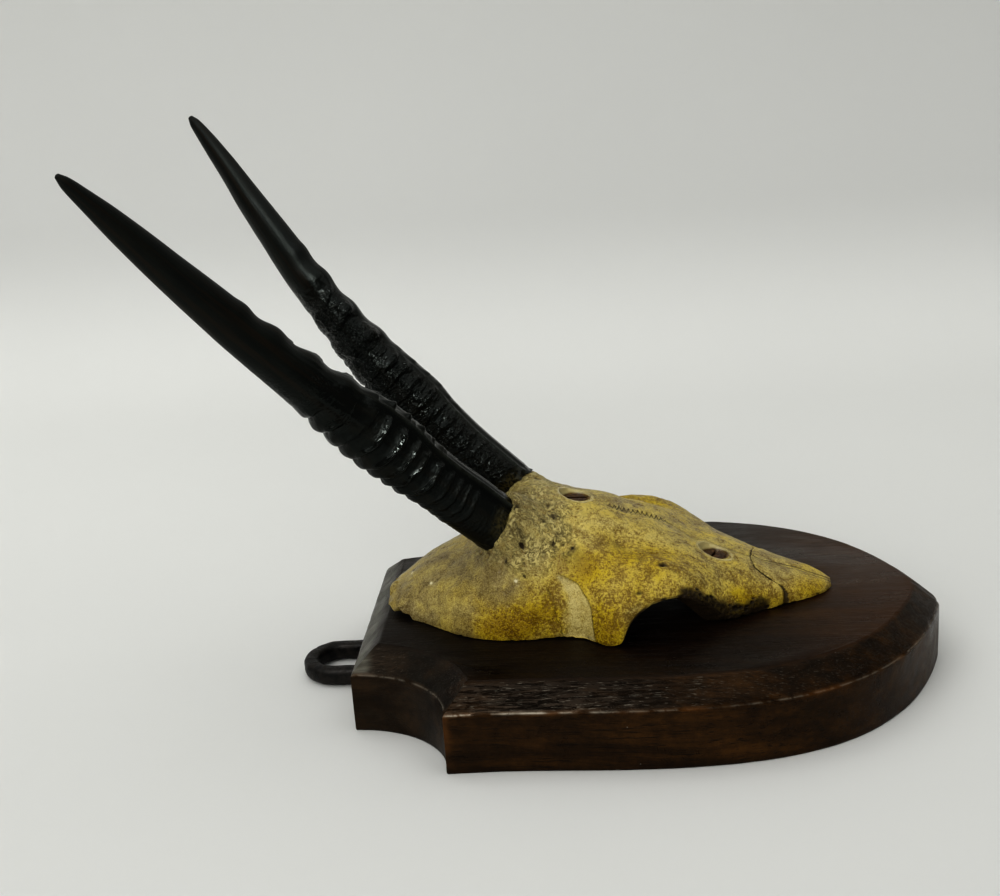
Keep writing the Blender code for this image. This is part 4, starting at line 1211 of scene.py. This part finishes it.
def ring_swell(along, grooves, belly):
    """Height of the rings, flared lips on a wall and round folds on the belly, and their lips."""
    low = np.array(grooves)
    k = np.clip(np.searchsorted(low, along, side="right") - 1, 0, len(low) - 2)
    size = low[k + 1] - low[k]
    part = np.clip((along - low[k]) / size, 0.0, 1.0)
    inside = (along >= low[0]) & (along < low[-1])
    rise = np.sqrt(np.clip(1 - ((RING_CREST - part) / RING_CREST) ** 2, 0.0, 1.0))
    away = np.clip((part - RING_CREST) / (1 - RING_CREST), 0.0, 1.0)
    away = np.hypot(away, CREST_ROUND) - CREST_ROUND
    lip = LIP_HIGH * (np.where(part < RING_CREST, rise, (1 - away) ** LIP_POWER) - 0.35)
    fold = BELLY_HIGH * ((1 - (2 * part ** 0.8 - 1) ** 2) ** 0.8 - 0.62)
    crest = bell(part - RING_CREST - 0.08, 0.15) * inside * (1 - belly)
    return size * inside * (lip + (fold - lip) * belly), crest


def horn_grid(side, share, turn):
    """Points of a horn's skin, and the values that its looks follow."""
    base, tip, along, front, out = horn_frame(side)
    length = np.linalg.norm(tip - base)
    degrees = np.degrees(turn)
    seed = 1000 + 50 * side
    column = 1 if side < 0 else 3
    uneven = RING_UNEVEN[side]

    def rolled(radius, squeeze=1):
        """The horn as a straight rod; squeezing it in length draws out its grain."""
        return np.stack((radius * np.cos(turn), radius * np.sin(turn), share * length / squeeze),
                        axis=-1)

    rod = rolled(7)

    # outline with a keel in front and a smooth strip on each side of it
    a = turn - BROAD_TURN
    broad = flowing(HORN_WIDTHS, 1, share)
    narrow = flowing(HORN_WIDTHS, 2, share)
    radius = broad * narrow / np.hypot(narrow * np.cos(a), broad * np.sin(a))
    radius = radius + flowing(HORN_TRIM, column + 1, share)
    away = (turn - KEEL_TURN + pi) % (2 * pi) - pi
    fading = fall(share, KEEL_FADE, KEEL_END)
    strip = sum(high * bell(away - radians(at), radians(wide)) for at, wide, high in SIDE_STRIPS)
    radius = radius + (KEEL_HIGH * bell(away, KEEL_SPREAD) + 0.32 * strip) * fading

    # rings, each side with its own
    past_keel = ease(degrees, 24.0, 44.0)
    before_keel = ease(-degrees, 16.0, 40.0)
    outer = past_keel * fall(degrees, 172.0, 180.0)
    inner = before_keel * fall(-degrees, 164.0, 180.0)
    low_rings = past_keel + 0.50 * before_keel
    keel = bell(degrees + 3.0, 8.0) * ease(share, 0.14, 0.19)
    belly = ease(np.abs(degrees), 108.0, 138.0)
    bend = 0.0055 * noise(rod, 6.0, 3, seed) + 0.0016 * noise(rod, 2.2, 2, seed + 14)
    along_mm = (share + uneven * bend * fall(share, 0.5, 0.7)) * length
    rings, crest = ring_swell(along_mm, LOW_GROOVES, belly)
    rings = rings * (low_rings + KEEL_RINGS[side] * keel)
    rings = rings * (0.55 + 0.45 * ease(along_mm, 19.0, 29.0))
    rings = rings + (ring_swell(along_mm, OUTER_GROOVES, belly)[0] * outer
                     * (0.12 + 0.88 * ease(degrees, 84.0, 122.0)) * fall(along_mm, 57.0, 66.0))
    rings = rings + 0.4 * ring_swell(along_mm, INNER_GROOVES, belly)[0] * inner * fall(
        along_mm, 70.0, 84.0)
    radius = radius + rings * (1 + 0.22 * uneven * noise(rod, 8.0, 2, seed + 1))

    # close ridges below, crinkles, fibres and beads in the middle, knobs on the keel
    close = 0.5 + 0.5 * np.sin(2 * pi * along_mm / 1.25 + 1.6 * noise(rod, 3.0, 2, 9))
    patchy = np.clip(0.60 + 0.8 * noise(rod, 4.0, 2, seed + 2), 0.0, 1.3)
    radius = radius + 0.12 * close * fall(along_mm, 20.0, 29.0) * patchy * (
        0.12 + 0.88 * np.clip(low_rings, 0, 1))
    crinkle = ridges(rod * np.array((1, 1, 1.6)), 2.6, 3, seed + 3) - 0.65
    crinkle = crinkle + 0.45 * (ridges(rod * np.array((1, 1, 2.2)), 1.5, 2, seed + 12) - 0.6)
    middle = ease(share, 0.08, 0.2) * fall(share, 0.46, 0.60)
    radius = radius + 0.36 * crinkle * middle * (0.45 * outer + 2.5 * inner)
    fibre = lumps(rolled(8, 9), 0.95, seed + 4)
    beaded = outer * middle * fall(degrees, 85.0, 112.0)
    radius = radius + (0.020 + 0.045 * middle + 0.09 * beaded) * fibre * fall(share, 0.90, 0.99)
    beads = lumps(rolled(8, 3), 1.05, seed + 13)
    radius = radius + 0.24 * beads * crest * (beaded + 0.7 * inner * middle)
    for knob in EDGE_KNOBS:
        past = along_mm - knob
        scale = bell(past, np.where(past > 0, 2.4, 0.55))
        radius = radius + KNOB_HIGH[side] * scale * bell(degrees + 2.0, 9.0)
    radius = radius + 0.08 * noise(rod, 14.0, 2, seed + 5)

    # the rings lean, the upper part waves, and the ragged rim follows the bone
    settle = ease(share, *LEAN_START) * fall(share, *LEAN_STOP)
    low_lean = 1.9 - 1.5 * ease(along_mm, 26.0, 40.0)
    lean = flowing(GROOVE_LEAN, 1, degrees) * (1 + belly * (low_lean - 1))
    reach = share * length + lean * settle
    place = reach / length
    wave = np.cos(2 * pi * (place - WAVE_AT) / WAVE_PITCH)
    wave = wave * ease(place, *WAVE_START) * fall(place, *WAVE_STOP)
    radius = radius + WAVE_HIGH * wave * bell(turn - WAVE_TURN, WAVE_SPREAD)
    seat = SEAT_SHIFT[side] + SEAT_LEAN[side] * radius * np.cos(turn)
    reach = reach + seat * fall(share, 0.0, SEAT_FADE)
    rim = fall(share, 0.0, 0.035)
    reach = reach - rim * (0.45 + 0.75 * noise(rod * np.array((1, 1, 0)), 2.4, 3, seed + 6))
    radius = radius + 0.25 * rim * noise(rod, 1.6, 2, seed + 7)
    bow = np.sin(pi * share ** BOW_SKEW)[..., None] * np.array(HORN_BOW) * np.array((1, side, 1))
    forward = flowing(HORN_TRIM, column, share)
    centre = base + along * reach[..., None] + bow + front * forward[..., None]
    spread = front * np.cos(turn)[..., None] + out * np.sin(turn)[..., None]
    points = centre + radius[..., None] * spread

    # where the horn is worn light, brown, dull or sparkling
    edge = np.clip(0.55 * strip * fading * (0.6 + 0.5 * noise(rod, 3.0, 2, seed + 8)), 0, 1)
    rim_look = fall(share, 0.012, 0.030) * bell(np.abs(degrees) - 65, 28)
    dull = ease(share, 0.36, 0.56) * np.clip(outer + 1 - inner, 0, 1)
    groove = outer * (1 - crest * ease(along_mm, 20.0, 23.0)) * fall(along_mm, 48.0, 56.0)
    sparkle = (0.25 * outer + inner) * ease(share, 0.01, 0.03) * fall(share, 0.50, 0.56)
    sparkle = sparkle * (0.35 + 0.65 * ease(noise(rod, 5.0, 2, seed + 11), -0.4, 0.3))
    return points, {"edge": edge, "rim": rim_look, "groove": groove, "sparkle": sparkle,
                    "dull": np.maximum(dull, ease(share, 0.52, 0.60)), "skin": rolled(7.5)}


def build_horn(name, node, side, look):
    fine = np.linspace(0.0, HORN_FINE_TO, int(HORN_LOOPS * 0.80))
    shares = np.concatenate((fine, np.linspace(HORN_FINE_TO, 1.0, int(HORN_LOOPS * 0.20) + 1)[1:]))
    turns = -pi + 2 * pi * np.arange(HORN_SIDES) / HORN_SIDES
    share, turn = np.meshgrid(shares, turns, indexing="ij")
    points, values = horn_grid(side, share, turn)
    along = horn_frame(side)[2]
    middle = points[-1].mean(axis=0)
    caps = [middle + (points[-1] - middle) * cos(lean * pi / 2) + along * 0.55 * sin(lean * pi / 2)
            for lean in (0.35, 0.65, 0.88)]
    points = np.concatenate((points, np.array(caps)))
    verts = np.concatenate((points.reshape(-1, 3), [middle + along * 0.6, points[0].mean(axis=0)]))
    faces = grid_faces(0, len(points), HORN_SIDES, closed=True)
    end = points[..., 0].size
    for k in range(HORN_SIDES):
        n = (k + 1) % HORN_SIDES
        faces.append((end - HORN_SIDES + k, end - HORN_SIDES + n, end))
        faces.append((n, k, end + 1))
    for key, value in values.items():
        rows = value.reshape(share.size, -1)
        values[key] = np.concatenate((rows, np.repeat(rows[-1:], len(verts) - share.size, axis=0)))
    show(make_piece(name, verts, faces, [look], values, sharp=80), node)


# Shield


def side_curve(inset):
    start = np.array((SCOOP_LENGTH, PLAQUE_HALF_WIDTH))
    tip = np.array((PLAQUE_LENGTH, 0.0))
    leave = start + np.array(SIDE_LEAVE)
    arrive = np.array((PLAQUE_LENGTH - SIDE_ARRIVE[0], SIDE_ARRIVE[1]))
    t = np.linspace(0.0, 1.0, 1600)[:, None]
    curve = ((1 - t) ** 3 * start + 3 * (1 - t) ** 2 * t * leave
             + 3 * (1 - t) * t * t * arrive + t ** 3 * tip)
    run = np.gradient(curve, axis=0)
    normal = np.stack((run[:, 1], -run[:, 0]), axis=1)
    normal /= np.linalg.norm(normal, axis=1)[:, None]
    return curve + normal * inset


def outline(inset):
    """The shield's outline moved in by the inset, as an even run of points from its top end."""
    side = side_curve(inset)
    side_y = side[np.argmin(np.abs(side[:, 0] - SCOOP_LENGTH - inset)), 1]
    length = SCOOP_LENGTH + inset
    width = SCOOP_WIDTH + inset
    first = asin(inset / length)
    last = pi / 2 - asin(max(0.0, PLAQUE_HALF_WIDTH - side_y) / width)
    turn = np.linspace(first, last, 61)
    scoop = np.stack((length * np.sin(turn), PLAQUE_HALF_WIDTH - width * np.cos(turn)), axis=1)
    end = np.stack((np.full(24, scoop[0, 0]), np.linspace(0.0, scoop[0, 1], 25)[:-1]), axis=1)
    kept = side[(side[:, 0] > scoop[-1, 0]) & (side[:, 1] > 0.0)]
    run = np.concatenate(([0.0], np.cumsum(np.linalg.norm(np.diff(kept, axis=0), axis=1))))
    reach = np.linspace(0.0, run[-1] - TIP_ROUND, 221)[1:]
    along = np.stack((np.interp(reach, run, kept[:, 0]), np.interp(reach, run, kept[:, 1])), axis=1)
    tip = np.array([[kept[-1][0] - TIP_BLUNT, 0.0]])
    last_side = along[-1]
    nose = np.array([last_side + (tip[0] - last_side) * s for s in (0.35, 0.7)])
    nose[:, 0] += (0.35, 0.3)
    half = np.concatenate((end, scoop, along, nose, tip))
    other = half[1:-1][::-1] * np.array((1.0, -1.0))
    whole = np.concatenate((half, other))
    whole[:, 0] += END_X
    return whole


def build_plaque(look):
    slope = (PLAQUE_THICK - RIM_Z) / CHAMFER_WIDTH
    levels = list(FOOT_ROUND)
    levels += [(0.0, z) for z in np.linspace(1.8, RIM_Z - 0.7, 14)]
    levels += [(w, RIM_Z + rise) for w, rise in RIM_ROUND]
    levels += [(w, RIM_Z + slope * w) for w in np.linspace(0.8, CHAMFER_WIDTH - 0.45, 11)]
    levels += [(CHAMFER_WIDTH + w, PLAQUE_THICK - drop) for w, drop in TOP_ROUND]
    grid = np.array([np.insert(outline(w), 2, z, axis=1) for w, z in levels])
    rows, columns = grid.shape[:2]
    inset = np.array([w for w, _ in levels])[:, None] + np.zeros(columns)
    z = grid[..., 2]

    # worn edges and rough cuts on the slant
    away = np.minimum(np.abs(z - RIM_Z - 0.1), np.abs(inset - CHAMFER_WIDTH) + 0.4)
    worn = bell(away, 0.75)
    chips = ease(noise(grid, 7.0, 3, 700), 0.15, 0.8)
    slant = ease(inset, 0.3, 0.9) * fall(inset, 6.2, 6.9)
    move = 0.07 * noise(grid * np.array((0.5, 1, 1)), 8.0, 3, 702)
    move -= worn * (0.10 + 0.22 * chips + 0.06 * noise(grid, 1.6, 2, 704))
    move += slant * 0.14 * (ridges(grid * np.array((0.35, 0.35, 1.0)), 2.4, 2, 706) - 0.5)
    flat = (z > PLAQUE_THICK - 0.02) | (z < 0.02)
    normals = outward_normals(grid, grid - np.array((0.0, 0.0, 10.0)))
    grid = grid + normals * (move * ~flat)[..., None]
    grid[..., 2] = np.clip(grid[..., 2], 0.0, PLAQUE_THICK)
    faces = grid_faces(0, rows, columns, closed=True)
    faces += [list(range(columns)), list(range((rows - 1) * columns, rows * columns))]

    # where the stain is worn, dirty, dull or grey, with painted shade along the foot, a painted
    # highlight on the rim and a painted sheen on the end slant
    x = grid[..., 0]
    rim = bell(np.abs(z - RIM_Z + 0.1), 0.45)
    sided = both_sides(grid)
    corner = np.hypot(sided[..., 0] - SCOOP_LENGTH - END_X, sided[..., 1] - PLAQUE_HALF_WIDTH)
    corner = bell(corner, 1.3) * ease(z, 1.0, 5.0)
    side_rim = ease(x, -56.0, -53.0)
    wear = 0.62 * rim * ease(noise(grid, 9.0, 3, 708), -0.35, 0.45) * (0.25 + 0.75 * side_rim)
    # painted highlight: a thin pale line along the rim
    gleam = bell(z - RIM_Z + 0.05, 0.22) * ease(noise(grid, 3.0, 2, 712), -0.7, 0.2)
    end = ease(-x, 79.0, 81.5)
    # grime on the slant, darker at the end and round the scoop, and painted shade along the foot
    grime = (0.45 * slant * ease(noise(grid, 5.0, 3, 710), -0.3, 0.6) + 0.35 * end
             + 0.4 * fall(z, 0.0, 2.5) + (0.40 + 0.25 * slant) * (1 - side_rim) * (1 - end))
    values = {"wear": np.clip(wear + 0.8 * corner + 0.20 * worn * chips, 0.0, 1.0),
              "grime": np.clip(grime, 0.0, 1.0),
              "cut": slant * (0.3 + 0.7 * side_rim) * (1 - 0.6 * ease(x, -5.0, 25.0)),
              "rim": rim,
              "gleam": 0.9 * gleam * (0.25 + 0.75 * side_rim * fall(x, -28.0, -8.0)),
              # painted sheen on the end slant, and a little grey over the scoop
              "ashy": slant * fall(x, -79.0, -76.0) + 0.06 * (1 - side_rim)}
    plaque = make_piece("shield", grid.reshape(-1, 3), faces, [look], values)
    cutters = [make_piece("bed", *strap_bed(), [look])]
    pilots = [(STRAP_PILOT, (x, 0.0, 0.0), (0.0, 0.0, 1.0)) for x in STRAP_SCREWS]
    for x, y in SKULL_HOLES:
        head, axis, length = screw_in_bone(x, y)
        pilots.append(((SKULL_PILOT_RADIUS, -length - 0.6, 3.0), head, axis))
    for (radius, low, high), spot, axis in pilots:
        points, sides = turned(((radius, low), (radius, high)), 24)
        cutters.append(make_piece("pilot", placed(points, spot, axis), sides, [look]))
    carve(plaque, cutters)
    plaque.data.set_sharp_from_angle(angle=radians(28))
    show(plaque, "plaque")


# Hanging loop


def strap_outline(grow, steps=24):
    wide = LOOP_HALF_WIDTH + STRAP_EDGE + grow
    narrow = STRAP_WIDTH / 2 + grow
    neck = END_X + STRAP_SHOULDER + grow
    round_x = END_X + STRAP_LENGTH - STRAP_WIDTH / 2
    mouth = END_X - STRAP_LIP - 4 * grow
    half = [(mouth, wide), (neck, wide), (neck, narrow)]
    half += [(round_x + narrow * sin(a), narrow * cos(a)) for a in np.linspace(0.0, pi / 2, steps)]
    return half + [(x, -y) for x, y in reversed(half[:-1])]


def prism(points, low, high):
    count = len(points)
    verts = [(x, y, low) for x, y in points] + [(x, y, high) for x, y in points]
    faces = [(k, (k + 1) % count, (k + 1) % count + count, k + count) for k in range(count)]
    faces += [list(range(count)), list(range(count, 2 * count))]
    return np.array(verts), faces


def strap_bed():
    return prism(strap_outline(GAP), -2.0, STRAP_SINK + STRAP_THICK + GAP)


def squared(value):
    """A sine or cosine filled out, so that a bar's section is nearly square."""
    return np.sign(value) * np.abs(value) ** LOOP_SQUARE


def build_hanger(look):
    middle = LOOP_HALF_WIDTH - LOOP_BAR / 2
    bend_x = END_X - LOOP_REACH + LOOP_HALF_WIDTH
    thin = (STRAP_SINK + 0.5, STRAP_SINK + STRAP_THICK - 0.5)
    full = (GAP, LOOP_TOP)
    leg = [(END_X + STRAP_SHOULDER / 2, thin), (END_X - 0.5, thin), (END_X - 1.4, full)]
    leg += [(x, full) for x in np.linspace(END_X - 2.2, bend_x + 0.6, 9)]
    path = [(x, middle, pi / 2, level) for x, level in leg]
    path += [(bend_x - middle * sin(a), middle * cos(a), pi / 2 + a, full)
             for a in np.linspace(0.0, pi, 60)]
    path += [(x, -middle, pi * 1.5, level) for x, level in reversed(leg)]
    angles = 2 * pi * np.arange(LOOP_SIDES) / LOOP_SIDES
    across = LOOP_BAR / 2 * squared(np.cos(angles))
    rise = squared(np.sin(angles))
    grid = np.array([np.stack((x + across * cos(turn), y + across * sin(turn),
                               (top + low) / 2 + (top - low) / 2 * rise), axis=-1)
                     for x, y, turn, (low, top) in path])
    wrapped = np.concatenate((grid[:, -1:], grid, grid[:, :1]), axis=1)
    outward = wrapped - grid.mean(axis=1, keepdims=True)
    normals = outward_normals(wrapped, outward)[:, 1:-1]
    shape = 0.13 * noise(grid, 3.0, 3, 801) - 0.12 * pores(grid, 2.4, 0.6, 805)
    grid = grid + normals * shape[..., None]
    grid[..., 2] = np.clip(grid[..., 2], 0.05, LOOP_TOP + 0.1)
    faces = grid_faces(0, len(path), LOOP_SIDES, closed=True)
    faces.append(list(range(LOOP_SIDES)))
    faces.append(list(range((len(path) - 1) * LOOP_SIDES, len(path) * LOOP_SIDES)))
    hanger = make_piece("hanging_loop", grid.reshape(-1, 3), faces, [look])
    strap = make_piece("strap", *prism(strap_outline(0.0), STRAP_SINK, STRAP_SINK + STRAP_THICK),
                       [look])
    cutters = []
    for x in STRAP_SCREWS:
        points, sides = turned(SINK_PROFILE, 32)
        spot = (x, 0.0, STRAP_SINK)
        cutters.append(make_piece("sink", placed(points, spot, (0.0, 0.0, -1.0)), sides, [look]))
    carve(hanger, cutters, strap)
    hanger.data.set_sharp_from_angle(angle=radians(40))
    show(hanger, "hanger")


# Screws


def build_screw(name, node, form, length, head_at, axis, turn, look):
    """A slotted countersunk screw with a worn head; axis points out of the head."""
    shank, head, high, slot_wide, slot_deep = form
    profile = [(0.05, -length), (0.35 * shank, -length + shank), (shank, -length + 4 * shank)]
    profile += [(shank, -high - 0.2), (shank * 1.02, -high)]
    profile += [(head * share, z) for share, z in HEAD_PROFILE]
    verts, faces = turned(profile, 64)
    screw = make_piece(name, placed(verts, head_at, axis), faces, [look])
    size = np.array((head + 1.0, slot_wide / 2, slot_deep))
    spin = Matrix.Rotation(turn, 3, "Z")
    corners = [np.array(spin @ Vector((sx * size[0], sy * size[1], z)))
               for z in (-size[2], 1.0) for sx, sy in ((-1, -1), (1, -1), (1, 1), (-1, 1))]
    sides = [(0, 1, 2, 3), (4, 5, 6, 7), (0, 1, 5, 4), (1, 2, 6, 5), (2, 3, 7, 6), (3, 0, 4, 7)]
    cutter = make_piece("slot", placed(corners, head_at, axis), sides, [look], smooth=False)
    carve(screw, [cutter])
    screw.data.set_sharp_from_angle(angle=radians(40))
    show(screw, node)


def build_screws(brass, steel):
    for k, (x, y) in enumerate(SKULL_HOLES):
        head, axis, length = screw_in_bone(x, y)
        build_screw("bone_screw_%d" % (k + 1), "skull_screw_%d" % (k + 1),
                    BRASS_SCREW, length, head, axis, radians(BRASS_TURNS[k]), brass)
    for k, x in enumerate(STRAP_SCREWS):
        build_screw("back_screw_%d" % (k + 1), "strap_screw_%d" % (k + 1),
                    STEEL_SCREW, STEEL_LENGTH, (x, 0.0, STRAP_SINK), (0.0, 0.0, -1.0),
                    radians(STEEL_TURNS[k]), steel)


# Surroundings


def build_stage():
    """A seamless pale sheet: floor, a wide bend and a wall."""
    bend = FLOOR_RUN[-1]
    profile = [(y, 0.0) for y in FLOOR_RUN]
    profile += [(bend + BEND_RADIUS * sin(a), BEND_RADIUS - BEND_RADIUS * cos(a))
                for a in np.linspace(0.1, pi / 2, 24)]
    profile += [(bend + BEND_RADIUS, WALL_TOP)]
    verts = [(x / MM, y / MM, z / MM) for y, z in profile
             for x in (-SHEET_HALF_WIDTH, SHEET_HALF_WIDTH)]
    faces = [(2 * k, 2 * k + 1, 2 * k + 3, 2 * k + 2) for k in range(len(profile) - 1)]
    look = Look("pale sheet")
    x, y, z = look.axes()
    # painted falloff of the light: the sheet darker towards the front, up the wall and to the right
    even = span(y, -0.20, 0.25, 0.885, 1.0) * span(z, 0.005, 0.07, 1.0, 0.785)
    even = even * span(x, -0.35, 0.35, 1.03, 0.97)
    colour = blend(1.0, ramp(look.grain(3.0, 3.0), SHEET_TONES), even, "MULTIPLY")
    floor = make_piece("floor", verts, faces, [look.finish(colour, 0.75)])


def add_light(name, spot, aim, size, power, colour):
    data = bpy.data.lights.new(name, "AREA")
    data.shape = "RECTANGLE"
    data.size, data.size_y = size
    data.energy = power
    data.color = colour
    lamp = bpy.data.objects.new(name, data)
    bpy.context.scene.collection.objects.link(lamp)
    lamp.location = spot
    lamp.rotation_euler = (Vector(aim) - Vector(spot)).to_track_quat("-Z", "Y").to_euler()
    return lamp


def build_lights():
    world = bpy.data.worlds.new("room")
    world.use_nodes = True
    background = world.node_tree.nodes["Background"]
    feed(ROOM_COLOUR, background.inputs["Color"])
    feed(ROOM_STRENGTH, background.inputs["Strength"])
    bpy.context.scene.world = world
    for name, spot, aim, size, power, colour, unseen_by in LIGHTS:
        lamp = add_light(name, spot, aim, size, power, colour)
        if unseen_by:
            setattr(lamp, unseen_by, False)


def build_camera():
    turn = radians(CAMERA_TURN)
    rise = radians(CAMERA_RISE)
    roll = radians(CAMERA_ROLL)
    back = Vector((sin(turn) * cos(rise), -cos(turn) * cos(rise), sin(rise)))
    right = (-back).cross(Vector((0.0, 0.0, 1.0))).normalized()
    up = right.cross(-back)
    rolled_right = right * cos(roll) + up * sin(roll)
    rolled_up = up * cos(roll) - right * sin(roll)
    place = Matrix((rolled_right, rolled_up, back)).transposed().to_4x4()
    place.translation = Vector(CAMERA_AIM) * CAMERA_UNIT + back * CAMERA_AWAY * CAMERA_UNIT
    data = bpy.data.cameras.new("camera")
    data.sensor_fit = "HORIZONTAL"
    data.sensor_width = SENSOR_WIDTH
    data.lens = FOCAL_PIXELS / PICTURE_WIDTH * SENSOR_WIDTH
    data.clip_start = 0.01
    camera = bpy.data.objects.new("camera", data)
    bpy.context.scene.collection.objects.link(camera)
    camera.matrix_world = place
    bpy.context.scene.camera = camera


def main():
    bpy.context.scene.view_settings.view_transform = "Standard"
    bpy.context.scene.view_settings.look = "High Contrast"
    build_camera()
    build_lights()
    build_stage()
    build_plaque(wood_look())
    build_hanger(metal_look(*IRON))
    build_skull(bone_look(), hole_look())
    horn = horn_look()
    build_horn("horn_near", "horn_right", -1, horn)
    build_horn("horn_far", "horn_left", 1, horn)
    build_screws(metal_look(*BRASS), metal_look(*STEEL))


main()
